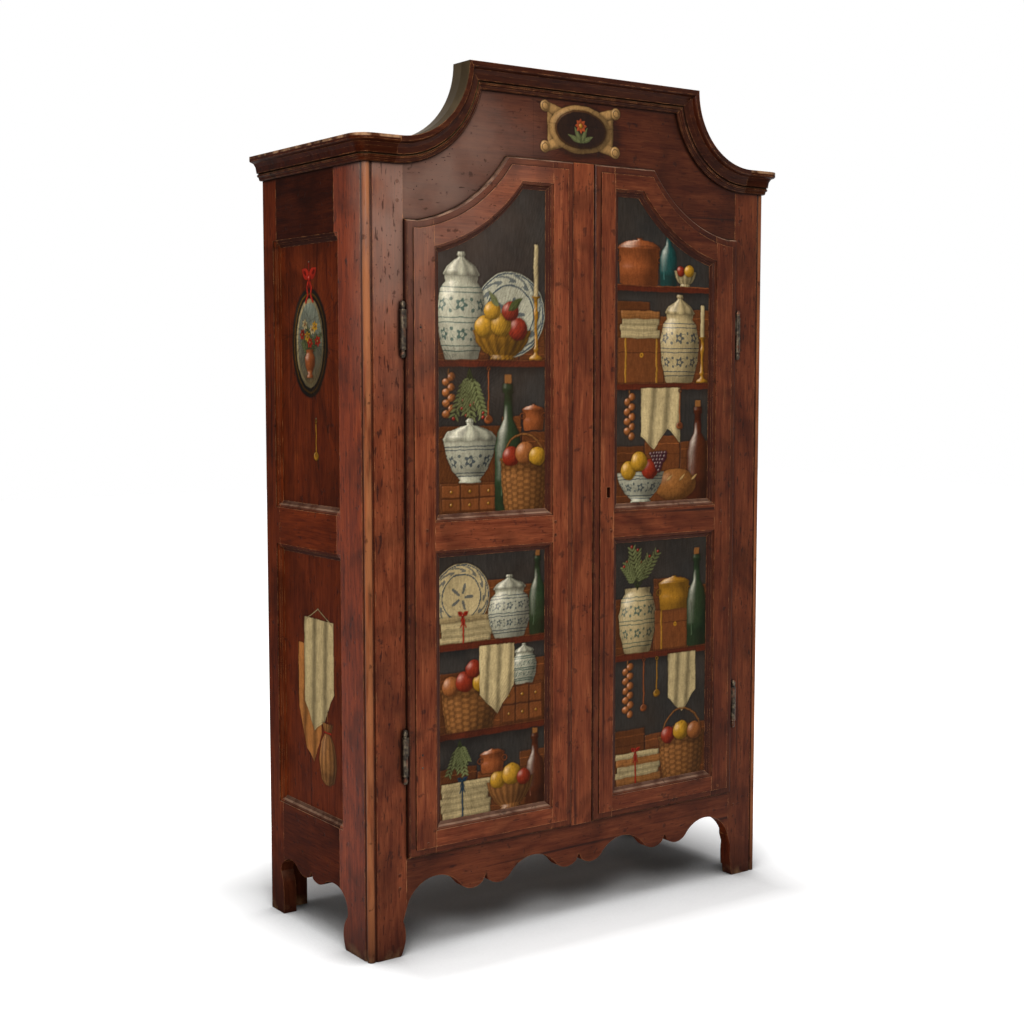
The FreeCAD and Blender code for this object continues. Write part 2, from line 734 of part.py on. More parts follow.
def make_cornice():
    low = POST_TOP
    crest_low = "crest_height - cornice_height"
    radius = "sweep_radius"
    top_x = "(arch_centre - (%s))" % radius
    low_x = arch_x(radius + " + cornice_height", crest_low)
    window = prism("crest_window", "front",
                   [("-" + top_x, "crest_height"), ("-" + low_x, crest_low), (low_x, crest_low),
                    (top_x, "crest_height")], FRONT + " - cornice_projection - overrun",
                   "cornice_projection + overrun")
    crest = prism("crest_blank", "side", cornice_profile(FRONT, "-", crest_low), "-" + top_x, "2 * " + top_x)
    keep("crest_cornice", common("crest_mitred", crest, window))
    for side in ("left", "right"):
        arc = DOC.addObject("Part::Revolution", side + "_sweep_blank")
        arc.Source = free_sketch(side + "_sweep_profile", "side", cornice_profile(FRONT, "-", low),
                                 mirrored(side, "arch_centre"))
        arc.Axis = Vector(0, 1 if side == "right" else -1, 0)
        arc.setExpression("Base.x", formula(mirrored(side, "arch_centre")))
        arc.setExpression("Base.z", formula("crest_height"))
        arc.Angle = 90
        arc.Solid = True
        keep(side + "_swept_cornice", cut(side + "_sweep_mitred", arc, [window]))
        base = mirrored(side, HALF)
        away = "+" if side == "right" else "-"
        profile = free_sketch(side + "_return_profile", "front", cornice_profile(base, away, low), BACK)
        path = DOC.addObject("Sketcher::SketchObject", side + "_return_path")
        draw_return_path(path, side)
        sweep = DOC.addObject("Part::Sweep", side + "_return_sweep")
        sweep.Sections = [profile]
        sweep.Spine = (path, ["Edge1", "Edge2", "Edge3"])
        sweep.Solid = True
        sweep.Frenet = False
        sweep.Transition = "Right corner"
        keep(side + "_side_cornice", sweep)


def draw_return_path(path, side):
    """From the back along the side, round the corner bead and along the front to the swept part."""
    sign = 1 if side == "right" else -1
    outer = sign * value(HALF)
    turn = sign * value(HALF + " - bead_radius")
    end = sign * value("arch_centre")
    front, corner, back = value(FRONT), value(FRONT + " + bead_radius"), value(BACK)
    path.addGeometry(Part.LineSegment(Vector(outer, back, 0), Vector(outer, corner, 0)))
    arc, forward = arc_between(Vector(outer, corner, 0), Vector(turn, front, 0), value("bead_radius"),
                               "right" if side == "right" else "left")
    path.addGeometry(arc)
    path.addGeometry(Part.LineSegment(Vector(turn, front, 0), Vector(end, front, 0)))
    arc_ends = (1, 2) if forward else (2, 1)
    path.addConstraint(Sketcher.Constraint("Coincident", 0, 2, 1, arc_ends[0]))
    path.addConstraint(Sketcher.Constraint("Coincident", 1, arc_ends[1], 2, 1))
    bind_place(path, 0, 1, "X", mirrored(side, HALF))
    bind_place(path, 0, 1, "Y", BACK)
    bind_place(path, 0, 2, "X", mirrored(side, HALF))
    bind_place(path, 0, 2, "Y", FRONT + " + bead_radius")
    bind_place(path, 2, 1, "X", mirrored(side, HALF + " - bead_radius"))
    bind_place(path, 2, 1, "Y", FRONT)
    bind_place(path, 2, 2, "X", mirrored(side, "arch_centre"))
    bind_place(path, 2, 2, "Y", FRONT)
    radius = path.addConstraint(Sketcher.Constraint("Radius", 1, value("bead_radius")))
    path.setExpression("Constraints[%d]" % radius, formula("bead_radius"))


# ---------------------------------------------------------------- doors
def meeting_edge(side):
    """Distance of a door's meeting edge from the middle. The left door also carries the cover strip."""
    return "(strip_width / 2)" if side == "left" else "(strip_width / 2 + meeting_gap)"


def door_outline(side, inset):
    low = "door_bottom + %s" % inset
    shoulder = "door_shoulder - %s" % inset
    crown = "door_crown - %s" % inset
    radius = "door_arch_radius + %s" % inset
    outer = "%s - %s" % (DOOR_EDGE, inset)
    inner = "%s + %s" % (meeting_edge(side), inset)
    return on_side(side, [(inner, low), (outer, low), (outer, shoulder),
                          (arch_x(radius, shoulder), shoulder, radius, "right"),
                          (arch_x(radius, crown), crown), (inner, crown)])


PANEL_RADIUS = "door_arch_radius + arch_rail_width"
PANEL_CROWN = "door_crown - crown_rail_width"
LOWER_PANEL_LOW = "door_bottom + bottom_rail_width"
UPPER_PANEL_LOW = "mid_rail_bottom + mid_rail_width"


def door_opening(side, level):
    """Outline of a door panel's opening for an inset from the moulding's outer arris."""
    def outline(inset):
        inner = "%s + %s" % (PANEL_IN, inset)
        outer = "%s - %s" % (PANEL_OUT, inset)
        if level == "lower":
            low, high = LOWER_PANEL_LOW + " + " + inset, "mid_rail_bottom - " + inset
            return on_side(side, [(inner, low), (outer, low), (outer, high), (inner, high)])
        low = UPPER_PANEL_LOW + " + " + inset
        crown = PANEL_CROWN + " - " + inset
        radius = PANEL_RADIUS + " + " + inset
        return on_side(side, [(inner, low), (outer, low), (outer, arch_z(radius, outer), radius, "right"),
                              (arch_x(radius, crown), crown), (inner, crown)])
    return outline


LIP_CUTS = 3


def envelope(side):
    """The whole door as one board: a rounded lip all round and a field that stands proud of it."""
    behind = "%s + lip_step + lip_radius" % FACE
    board = prism(side + "_door_behind", "front", door_outline(side, "0"), behind,
                  "door_thickness - lip_step - lip_radius")
    sections = []
    for number in range(LIP_CUTS + 1):
        turn = 90 * number / LIP_CUTS
        inset = "(lip_radius * (1 - cos(%.1f)))" % turn
        offset = "%s - lip_radius * sin(%.1f)" % (behind, turn)
        sections.append(free_sketch("%s_lip_%d" % (side, number), "front", door_outline(side, inset), offset))
    lip = DOC.addObject("Part::Loft", side + "_door_lip")
    lip.Sections = sections
    lip.Solid = True
    lip.Ruled = True
    field = prism(side + "_door_field", "front", door_outline(side, "lip_width"), FACE, "lip_step")
    return fuse(side + "_door_board", [board, lip, field])


def member_outlines(side):
    """Stiles and rails as outlines that meet in mitres at the mouldings and run past the door's edge."""
    m = "moulding_width"
    near, near_in = PANEL_IN, "%s + %s" % (PANEL_IN, m)
    far, far_in = PANEL_OUT, "%s - %s" % (PANEL_OUT, m)
    low, high = "door_bottom - overrun", "door_crown + overrun"
    edge_in, edge_out = meeting_edge(side) + " - overrun", DOOR_EDGE + " + overrun"
    crown = PANEL_CROWN
    radius = PANEL_RADIUS
    inner_radius = "%s + %s" % (PANEL_RADIUS, m)
    shoulder = arch_z(radius, far)
    shoulder_in = arch_z(inner_radius, far_in)
    crown_in = "%s - %s" % (crown, m)
    lower = [LOWER_PANEL_LOW, LOWER_PANEL_LOW + " + " + m, "mid_rail_bottom - " + m, "mid_rail_bottom"]
    upper = [UPPER_PANEL_LOW, UPPER_PANEL_LOW + " + " + m]
    outlines = {
        "hinge_stile": [(edge_out, low), (far, low), (far, lower[0]), (far_in, lower[1]), (far_in, lower[2]),
                        (far, lower[3]), (far, upper[0]), (far_in, upper[1]), (far_in, shoulder_in),
                        (far, shoulder), (far, high), (edge_out, high)],
        "meeting_stile": [(edge_in, low), (near, low), (near, lower[0]), (near_in, lower[1]),
                          (near_in, lower[2]), (near, lower[3]), (near, upper[0]), (near_in, upper[1]),
                          (near_in, crown_in), (near, crown), (near, high), (edge_in, high)],
        "bottom_rail": [(near, low), (far, low), (far, lower[0]), (far_in, lower[1]), (near_in, lower[1]),
                        (near, lower[0])],
        "middle_rail": [(near, lower[3]), (near_in, lower[2]), (far_in, lower[2]), (far, lower[3]),
                        (far, upper[0]), (far_in, upper[1]), (near_in, upper[1]), (near, upper[0])],
        "arched_rail": [(near, crown), (near_in, crown_in), (arch_x(inner_radius, crown_in), crown_in,
                                                            inner_radius, "left"),
                        (far_in, shoulder_in), (far, shoulder), (far, high), (near, high)],
    }
    return {name: on_side(side, path) for name, path in outlines.items()}


def rail_tenons(side, rail):
    tops = {
        "bottom_rail": [("door_bottom + tenon_shoulder", LOWER_PANEL_LOW + " - tenon_shoulder")] * 2,
        "middle_rail": [("mid_rail_bottom + tenon_shoulder", UPPER_PANEL_LOW + " - tenon_shoulder")] * 2,
        "arched_rail": [(PANEL_CROWN + " + tenon_shoulder", "door_crown - tenon_shoulder"),
                        (arch_z(PANEL_RADIUS, PANEL_OUT) + " + tenon_shoulder",
                         "door_shoulder - tenon_shoulder")],
    }[rail]
    depth = (FACE + " + panel_setback", FACE + " + panel_setback + tenon_thickness")
    meeting = box("%s_%s_meeting_tenon" % (side, rail),
                  side_limits(side, PANEL_IN + " - tenon_length", PANEL_IN), depth, tops[0])
    hinge = box("%s_%s_hinge_tenon" % (side, rail),
                side_limits(side, PANEL_OUT, PANEL_OUT + " + tenon_length"), depth, tops[1])
    return meeting, hinge


def make_door(side):
    board = envelope(side)
    panels = []
    flares = []
    reach = "(moulding_width - panel_tongue)"
    for level in ("lower", "upper"):
        outline = door_opening(side, level)
        flares.append(flare("%s_door_%s_flare" % (side, level), "front", outline, FACE, "+"))
        panel = prism("%s_door_%s_board" % (side, level), "front", outline(reach), FACE + " + panel_setback",
                      "panel_thickness")
        panels.append(keep("%s_door_%s_panel" % (side, level), panel))
    outlines = member_outlines(side)
    stile_cuts = {"meeting_stile": [], "hinge_stile": []}
    for rail in ("bottom_rail", "middle_rail", "arched_rail"):
        block = prism("%s_%s_block" % (side, rail), "front", outlines[rail], FACE, "door_thickness")
        shaped = common("%s_%s_shaped" % (side, rail), block, board)
        meeting, hinge = rail_tenons(side, rail)
        stile_cuts["meeting_stile"].append(meeting)
        stile_cuts["hinge_stile"].append(hinge)
        whole = fuse("%s_%s_tenoned" % (side, rail), [shaped, meeting, hinge])
        keep("%s_door_%s" % (side, rail), cut("%s_%s_cut" % (side, rail), whole, panels + flares))
    stiles = {}
    for stile in ("meeting_stile", "hinge_stile"):
        block = prism("%s_%s_block" % (side, stile), "front", outlines[stile], FACE, "door_thickness")
        shaped = common("%s_%s_shaped" % (side, stile), block, board)
        stiles[stile] = (shaped, panels + flares + stile_cuts[stile])
    return stiles


# ---------------------------------------------------------------- hinges
BARREL_X = "(%s + knuckle_clearance + knuckle_radius)" % DOOR_EDGE
BARREL_Y = "(%s - knuckle_clearance - knuckle_radius)" % FRONT


def turned_half(name, upward):
    """Half of a long barrel hinge on its own axis: the knuckle and the button at its end."""
    pieces = []
    for part, radius, low, high in (
            ("knuckle", "knuckle_radius", "knuckle_gap / 2", "knuckle_length"),
            ("button", "button_radius", "knuckle_length", "hinge_half_length")):
        piece = DOC.addObject("Part::Cylinder", "%s_%s" % (name, part))
        piece.setExpression("Radius", formula(radius))
        piece.setExpression("Height", formula("%s - (%s)" % (high, low)))
        place(piece, z=low if upward else "-(%s)" % high)
        pieces.append(piece)
    return fuse(name, pieces)


def make_hinge(side, level):
    """A hinge's post half with its fixed pin, and its door half with a bored knuckle."""
    name = "%s_%s_hinge" % (side, level)
    height = level + "_hinge"
    x = mirrored(side, BARREL_X)
    lower = turned_half(name + "_lower_turning", False)
    place(lower, x, BARREL_Y, height)
    upper = turned_half(name + "_upper_turning", True)
    place(upper, x, BARREL_Y, height)
    pin = DOC.addObject("Part::Cylinder", name + "_pin")
    pin.setExpression("Radius", formula("hinge_pin_radius"))
    pin.setExpression("Height", formula("2 * hinge_pin_reach"))
    place(pin, x, BARREL_Y, height + " - hinge_pin_reach")
    bore = DOC.addObject("Part::Cylinder", name + "_bore")
    bore.setExpression("Radius", formula("hinge_pin_radius + pin_clearance"))
    bore.setExpression("Height", formula("hinge_pin_reach + board_gap"))
    place(bore, x, BARREL_Y, height)
    half = "leaf_thickness / 2"
    post_leaf = box(name + "_post_leaf",
                    side_limits(side, "%s - %s" % (BARREL_X, half), "%s + %s" % (BARREL_X, half)),
                    (BARREL_Y, FRONT + " + leaf_length"),
                    (height + " - knuckle_length", height + " - knuckle_gap - leaf_setback"))
    door_leaf = box(name + "_door_leaf",
                    side_limits(side, DOOR_EDGE + " - leaf_length", BARREL_X),
                    ("%s - %s" % (BARREL_Y, half), "%s + %s" % (BARREL_Y, half)),
                    (height + " + knuckle_gap + leaf_setback", height + " + knuckle_length"))
    post_half = fuse(name + "_post_half", [lower, pin, post_leaf])
    door_half = cut(name + "_door_half", fuse(name + "_door_blank", [upper, door_leaf]), [bore])
    return post_half, door_half, post_leaf, door_leaf


# ---------------------------------------------------------------- lock and bolts
def make_lock():
    """Rim lock on the back of the right meeting stile, its bolt, and the keeper on the left door."""
    edge = meeting_edge("right")
    case_x = (edge + " + lock_edge", edge + " + lock_edge + lock_width")
    back = DOOR_BACK
    case = box("lock_case_block", case_x, (back, back + " + lock_thickness"),
               ("keyhole_height - lock_height / 2", "keyhole_height + lock_height / 2"))
    bolt_y = ("%s + (lock_thickness - lock_bolt_thickness) / 2" % back,
              "%s + (lock_thickness + lock_bolt_thickness) / 2" % back)
    bolt_low = "keyhole_height + keyhole_length / 2 + lock_bolt_rise"
    bolt_z = (bolt_low, bolt_low + " + lock_bolt_height / 2")
    bolt_start = case_x[0] + " + iron_margin"
    bolt = box("lock_bolt_bar", (bolt_start, bolt_start + " + lock_bolt_length"), bolt_y, bolt_z)
    channel = box("lock_channel",
                  (case_x[0] + " - iron_margin", bolt_start + " + lock_bolt_length + iron_margin"),
                  (bolt_y[0] + " - iron_clearance", bolt_y[1] + " + iron_clearance"),
                  (bolt_z[0] + " - iron_clearance", bolt_z[1] + " + iron_clearance"))
    key_x = edge + " + keyhole_offset"
    keyhole = box("keyhole_slot", (key_x + " - keyhole_width / 2", key_x + " + keyhole_width / 2"),
                  (FACE + " - overrun", back + " + lock_thickness / 2"),
                  ("keyhole_height - keyhole_length / 2", "keyhole_height + keyhole_length / 2"))
    keep("lock_case", cut("lock_case_cut", case, [channel, keyhole]))
    keep("lock_bolt", bolt)
    strip_back = FACE + " + strip_setback + strip_thickness"
    keeper_edge = "strip_width / 2 - iron_margin"
    keeper = box("lock_keeper_block", (keeper_edge + " - keeper_width", keeper_edge),
                 (strip_back, bolt_y[1] + " + keeper_wall"),
                 (bolt_z[0] + " - keeper_margin", bolt_z[1] + " + keeper_margin"))
    reach = bolt_start + " - lock_travel"
    socket = box("lock_keeper_socket", (reach + " - keeper_wall", "strip_width / 2"),
                 (bolt_y[0] + " - iron_margin", bolt_y[1] + " + iron_margin"),
                 (bolt_z[0] + " - iron_margin", bolt_z[1] + " + iron_margin"))
    keep("lock_keeper", cut("lock_keeper_cut", keeper, [socket]))
    return keyhole


def across(middle, half_width):
    """Limits on both sides of a middle."""
    return ("%s - (%s)" % (middle, half_width), "%s + (%s)" % (middle, half_width))


def ordered(first, second):
    """The same two places, the lower one first."""
    return tuple(sorted((first, second), key=value))


def make_slide_bolts():
    """The bolts that hold the left door at top and bottom, each in two staples on a plate."""
    middle = "(-(%s + slide_bolt_offset))" % meeting_edge("left")
    plate_y = (DOOR_BACK, DOOR_BACK + " + slide_plate_thickness")
    bolt_y = (plate_y[1] + " + iron_margin", plate_y[1] + " + iron_margin + slide_bolt_thickness")
    stops = {"upper": "door_crown - stop_width - bolt_end_gap",
             "lower": "apron_top + floor_thickness + bolt_end_gap"}
    guide = "slide_bolt_width / 2 + iron_clearance"
    holes = {}
    plates = []
    for level, stop in stops.items():
        out, back = ("+", "-") if level == "upper" else ("-", "+")
        bar = box(level + "_bolt_bar", across(middle, "slide_bolt_width / 2"), bolt_y,
                  ordered(stop, "%s %s slide_bolt_length" % (stop, back)))
        knob = box(level + "_bolt_knob", across(middle, "knob_width / 2"),
                   (bolt_y[1], bolt_y[1] + " + knob_depth"),
                   across("%s %s knob_place" % (stop, back), "knob_width"))
        keep(level + "_slide_bolt", fuse(level + "_bolt_whole", [bar, knob]))
        far_end = "%s %s (slide_bolt_length + plate_overhang)" % (stop, back)
        near_end = "%s %s slide_plate_length" % (far_end, out)
        pieces = [box(level + "_bolt_plate", across(middle, "slide_plate_width / 2"), plate_y,
                      ordered(far_end, near_end))]
        for number, (end, inward) in enumerate(((far_end, out), (near_end, back))):
            start = "%s %s staple_setback" % (end, inward)
            pieces.append(box("%s_bolt_staple_%d" % (level, number), across(middle, guide + " + staple_wall"),
                              (plate_y[1], bolt_y[1] + " + iron_clearance + staple_wall"),
                              ordered(start, "%s %s staple_height" % (start, inward))))
        low, high = ordered(far_end, near_end)
        tunnel = box(level + "_bolt_tunnel", across(middle, guide),
                     (bolt_y[0] + " - iron_clearance", bolt_y[1] + " + iron_clearance"),
                     (low + " - overrun", high + " + overrun"))
        plates.append(cut(level + "_plate_cut", fuse(level + "_plate_whole", pieces), [tunnel]))
        holes[level] = box(level + "_bolt_hole", across(middle, "slide_bolt_width / 2 + iron_margin"),
                           (FRONT + " + rebate_depth - overrun", bolt_y[1] + " + iron_margin"),
                           ordered(stop, "%s %s (slide_travel + bolt_hole_spare)" % (stop, out)))
    keep("slide_bolt_plates", group("slide_bolt_plate_pair", plates))
    return holes


# ---------------------------------------------------------------- inside and back
# The floor's front board is cut round the front posts; plain boards lie behind it.
FLOOR_BOARDS = 2
ROOF_BOARDS = 3
BACK_BOARDS = 6


def split(low, high, count):
    """Limits of a number of equal boards between two places, with a gap between neighbours."""
    width = "((%s) - (%s) + board_gap) / %d" % (high, low, count)
    return [("(%s) + %d * %s" % (low, number, width), "(%s) + %d * %s - board_gap" % (low, number + 1, width))
            for number in range(count)]


def make_inside(lower_hole):
    front_y = FRONT + " + rebate_depth"
    behind_posts = FRONT + " + post_wall"
    wide = "(%s)" % INNER_WALL
    lip = "(%s - stop_width)" % OPENING
    first_end = "%s + front_leg_depth" % FRONT
    floor = [("-" + lip, front_y), (lip, front_y), (lip, behind_posts), (wide, behind_posts),
             (wide, first_end), ("-" + wide, first_end), ("-" + wide, behind_posts), ("-" + lip, behind_posts)]
    front_floor = cut("front_floor_cut", prism("front_floor", "plan", floor, "apron_top", "floor_thickness"),
                      [lower_hole])
    boards = [front_floor]
    for number, limits in enumerate(split(first_end + " + board_gap", BACK_INNER, FLOOR_BOARDS)):
        boards.append(box("floor_board_%d" % number, ("-" + wide, wide), limits,
                          ("apron_top", "apron_top + floor_thickness")))
    keep("floor_boards", group("floor_board_set", boards))
    roof = [box("roof_board_%d" % number, ("-" + HALF, HALF), limits, (RAIL_TOP, "shoulder_height"))
            for number, limits in enumerate(split(FRONT + " + post_wall", BACK, ROOF_BOARDS))]
    keep("roof_boards", group("roof_board_set", roof))
    cleats = []
    for level, top in (("floor", "apron_top"), ("first", "first_shelf"), ("second", "second_shelf"),
                       ("third", "third_shelf")):
        if level != "floor":
            keep(level + "_shelf", box(level + "_shelf_board", ("-" + wide, wide),
                                       (FRONT + " + shelf_setback", BACK_INNER),
                                       (top, top + " + shelf_thickness")))
        for side in ("left", "right"):
            cleats.append(box("%s_%s_cleat" % (side, level),
                              side_limits(side, wide + " - cleat_thickness", wide),
                              (FRONT + " + shelf_setback", BACK_INNER), (top + " - cleat_height", top)))
    keep("shelf_cleats", group("shelf_cleat_set", cleats))
    leg = "(%s - back_leg_width)" % HALF
    tenons = {"left": [], "right": []}
    rail_y = (BACK_INNER, BACK_INNER + " + back_rail_thickness")
    tenon_back = BACK + " - back_leg_wall + tenon_setback"
    for level, low in (("bottom", "back_boards_bottom"), ("top", RAIL_TOP + " - back_rail_width")):
        ends = []
        for side in ("left", "right"):
            tenon = box("%s_back_%s_tenon" % (side, level), side_limits(side, leg, leg + " + tenon_length"),
                        (tenon_back, tenon_back + " + tenon_thickness"),
                        (low + " + tenon_shoulder", low + " + back_rail_width - tenon_shoulder"))
            ends.append(tenon)
            tenons[side].append(tenon)
        rail = box("back_%s_blank" % level, ("-" + leg, leg), rail_y, (low, low + " + back_rail_width"))
        keep("back_%s_rail" % level, fuse("back_%s_tenoned" % level, [rail] + ends))
    boards = [box("back_board_%d" % number, limits, (BACK + " - back_board_thickness", BACK),
                  ("back_boards_bottom", RAIL_TOP))
              for number, limits in enumerate(split("-" + leg, leg, BACK_BOARDS))]
    keep("back_boards", group("back_board_set", boards))
    return tenons


# ---------------------------------------------------------------- assembly
def build():
    keyhole = make_lock()
    holes = make_slide_bolts()
    back_tenons = make_inside(holes["lower"])
    frieze, frieze_tenons = make_frieze()
    keep("frieze_board", cut("frieze_cut", frieze, [holes["upper"]]))
    make_cornice()
    tenon_front = FRONT + " + (apron_thickness - tenon_thickness) / 2"
    apron_tenons = [box(side + "_apron_tenon", side_limits(side, OPENING, OPENING + " + tenon_length"),
                        (tenon_front, tenon_front + " + tenon_thickness"),
                        ("foot_spring + apron_tenon_rise", "apron_top - tenon_shoulder"))
                    for side in ("left", "right")]
    apron = prism("front_apron_blank", "front", apron_outline(), FRONT, "apron_thickness")
    keep("front_apron", fuse("front_apron_tenoned", [apron] + apron_tenons))
    post_halves = []
    for number, side in enumerate(("left", "right")):
        door_halves = []
        post_leaves = []
        door_leaves = []
        for level in ("lower", "upper"):
            post_half, door_half, post_leaf, door_leaf = make_hinge(side, level)
            post_halves.append(post_half)
            door_halves.append(door_half)
            post_leaves.append(post_leaf)
            door_leaves.append(door_leaf)
        keep(side + "_door_hinge_halves", group(side + "_door_hinge_pair", door_halves))
        post, post_cuts, rear, rear_cuts = make_side(side)
        post_cuts = post_cuts + post_leaves + [apron_tenons[number], frieze_tenons[number]]
        keep(side + "_front_post", cut(side + "_front_post_cut", post, post_cuts))
        keep(side + "_rear_post", cut(side + "_rear_post_cut", rear, rear_cuts + back_tenons[side]))
        stiles = make_door(side)
        shaped, cuts = stiles["meeting_stile"]
        if side == "right":
            cuts = cuts + [keyhole]
        keep(side + "_door_meeting_stile", cut(side + "_meeting_stile_cut", shaped, cuts))
        shaped, cuts = stiles["hinge_stile"]
        keep(side + "_door_hinge_stile", cut(side + "_hinge_stile_cut", shaped, cuts + door_leaves))
    keep("post_hinge_halves", group("post_hinge_set", post_halves))
    keep("meeting_cover_strip", box("meeting_cover_board", ("-strip_width / 2", "strip_width / 2"),
                                    (FACE + " + strip_setback", FACE + " + strip_setback + strip_thickness"),
                                    ("door_bottom", "door_crown")))


build()
DOC.recompute()
failed = [item.Name for item in DOC.Objects if "Invalid" in item.State or "Error" in item.State]
if failed:
    raise SystemExit("failed features: " + ", ".join(failed))
for label, item in PARTS.items():
    if item.Shape.isNull() or not item.Shape.isValid() or not item.Shape.Solids:
        raise SystemExit("bad shape: " + label)
for label, item in PARTS.items():
    item.Shape.exportStep("parts/%s.step" % label)
print(len(PARTS), "sub-parts")
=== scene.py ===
import math

import bpy
import numpy as np
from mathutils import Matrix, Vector


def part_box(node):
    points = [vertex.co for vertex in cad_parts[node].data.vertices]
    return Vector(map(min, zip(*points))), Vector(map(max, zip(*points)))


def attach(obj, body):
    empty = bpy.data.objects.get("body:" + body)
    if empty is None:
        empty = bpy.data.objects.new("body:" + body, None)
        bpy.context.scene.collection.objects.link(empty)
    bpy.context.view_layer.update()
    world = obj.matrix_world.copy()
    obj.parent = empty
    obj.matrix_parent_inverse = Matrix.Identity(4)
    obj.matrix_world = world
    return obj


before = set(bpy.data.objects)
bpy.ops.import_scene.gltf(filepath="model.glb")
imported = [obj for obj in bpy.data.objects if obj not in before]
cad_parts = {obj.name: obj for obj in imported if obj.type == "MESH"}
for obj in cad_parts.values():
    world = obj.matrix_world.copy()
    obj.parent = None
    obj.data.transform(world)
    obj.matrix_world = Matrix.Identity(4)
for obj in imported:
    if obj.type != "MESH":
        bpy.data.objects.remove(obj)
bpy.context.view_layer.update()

MM = 0.001

# ---------------------------------------------------------------- places, from the frame, in metres
POST_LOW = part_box("left_front_post")[0]
POST_FRONT = POST_LOW[1]
HALF_WIDTH = -POST_LOW[0]
DOOR_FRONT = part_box("left_door_middle_rail")[0][1]
CREST_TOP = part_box("frieze_board")[1][2]
SHOULDER_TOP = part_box("left_side_cornice")[1][2]
SWEEP_INSET = 80 * MM                # from the carcass's side to the line about which the cornice is swept
SWEEP_CENTRE = HALF_WIDTH - SWEEP_INSET
PANEL_TONGUE = 10 * MM
PANEL_ARCH_RADIUS = 474 * MM


# ---------------------------------------------------------------- colours
def linear(red, green, blue):
    """A colour named by its 0 to 255 screen values, as light."""
    shares = np.array([red, green, blue]) / 255
    return np.where(shares <= 0.04045, shares / 12.92, ((shares + 0.055) / 1.055) ** 2.4)


def shade(colour, amount=1.0):
    return tuple(float(part) * amount for part in colour) + (1.0,)


# ---------------------------------------------------------------- materials
class Tree:
    """The node tree of a material or a world, with short ways to add and join its nodes."""

    def __init__(self, owner, shader="Principled BSDF"):
        owner.use_nodes = True
        self.owner = owner
        self.nodes = owner.node_tree.nodes
        self.links = owner.node_tree.links
        self.shader = self.nodes[shader]
        self.place = self.add("TexCoord").outputs["Object"]

    def feed(self, socket, source):
        if isinstance(source, bpy.types.NodeSocket):
            self.links.new(source, socket)
        else:
            socket.default_value = source

    def set(self, node, **inputs):
        for key, source in inputs.items():
            self.feed(node.inputs[key.replace("_", " ")], source)

    def add(self, kind, settings=(), **inputs):
        """A node, by its type without ShaderNode in front."""
        node = self.nodes.new("ShaderNode" + kind)
        for key, setting in dict(settings).items():
            setattr(node, key, setting)
        self.set(node, **inputs)
        return node

    def pair(self, kind, operation, first, second):
        node = self.add(kind, {"operation": operation})
        self.feed(node.inputs[0], first)
        self.feed(node.inputs[1], second)
        return node.outputs

    def math(self, operation, first, second=0.0):
        return self.pair("Math", operation, first, second)[0]

    def times(self, first, second):
        return self.math("MULTIPLY", first, second)

    def plus(self, first, second):
        return self.math("ADD", first, second)

    def minus(self, first, second):
        return self.math("SUBTRACT", first, second)

    def dot(self, first, second):
        return self.pair("VectorMath", "DOT_PRODUCT", first, second)["Value"]

    def span(self, source, low, high, to_low=0.0, to_high=1.0):
        """A value spread from one range to another and held within it."""
        return self.add("MapRange", Value=source, From_Min=low, From_Max=high, To_Min=to_low,
                        To_Max=to_high).outputs[0]

    def mix(self, share, first, second, blend="MIX"):
        node = self.add("Mix", {"data_type": "RGBA", "blend_type": blend})
        for number, source in ((0, share), (6, first), (7, second)):
            self.feed(node.inputs[number], source)
        return node.outputs[2]

    def cover(self, colour, share, pigment, amount=1.0):
        """A colour with a lighter or darker pigment over a share of it."""
        return self.mix(share, colour, shade(pigment, amount))

    def axes(self, vector=None):
        """The X, Y and Z of a vector, or else of the place."""
        return self.add("SeparateXYZ", Vector=self.place if vector is None else vector).outputs

    def normal(self):
        return self.add("NewGeometry").outputs["Normal"]

    def noise(self, scale, detail=4.0, distortion=0.0, stretch=None, shift=(0.0, 0.0, 0.0)):
        vector = self.place
        if stretch is not None:
            vector = self.add("Mapping", Vector=vector, Scale=stretch, Location=shift).outputs[0]
        return self.add("TexNoise", Vector=vector, Scale=scale, Detail=detail,
                        Distortion=distortion).outputs["Fac"]

    def patches(self, scale, detail, low, high, to_low=0.0, to_high=1.0):
        """Noise between two of its levels, spread over a range."""
        return self.span(self.noise(scale, detail), low, high, to_low, to_high)

    def ramp(self, source, stops):
        node = self.add("ValToRGB", Fac=source)
        elements = node.color_ramp.elements
        while len(elements) < len(stops):
            elements.new(0.5)
        for element, (position, colour) in zip(elements, stops):
            element.position = position
            element.color = tuple(colour)[:3] + (1.0,)
        return node.outputs[0]

    def height(self, source, depth):
        self.set(self.shader, Normal=self.add("Bump", Height=source, Distance=depth, Strength=1.0).outputs[0])

    def finish(self, colour, roughness, **inputs):
        self.set(self.shader, Base_Color=colour, Roughness=roughness, **inputs)
        return self.owner


def new_tree(name):
    return Tree(bpy.data.materials.new(name))


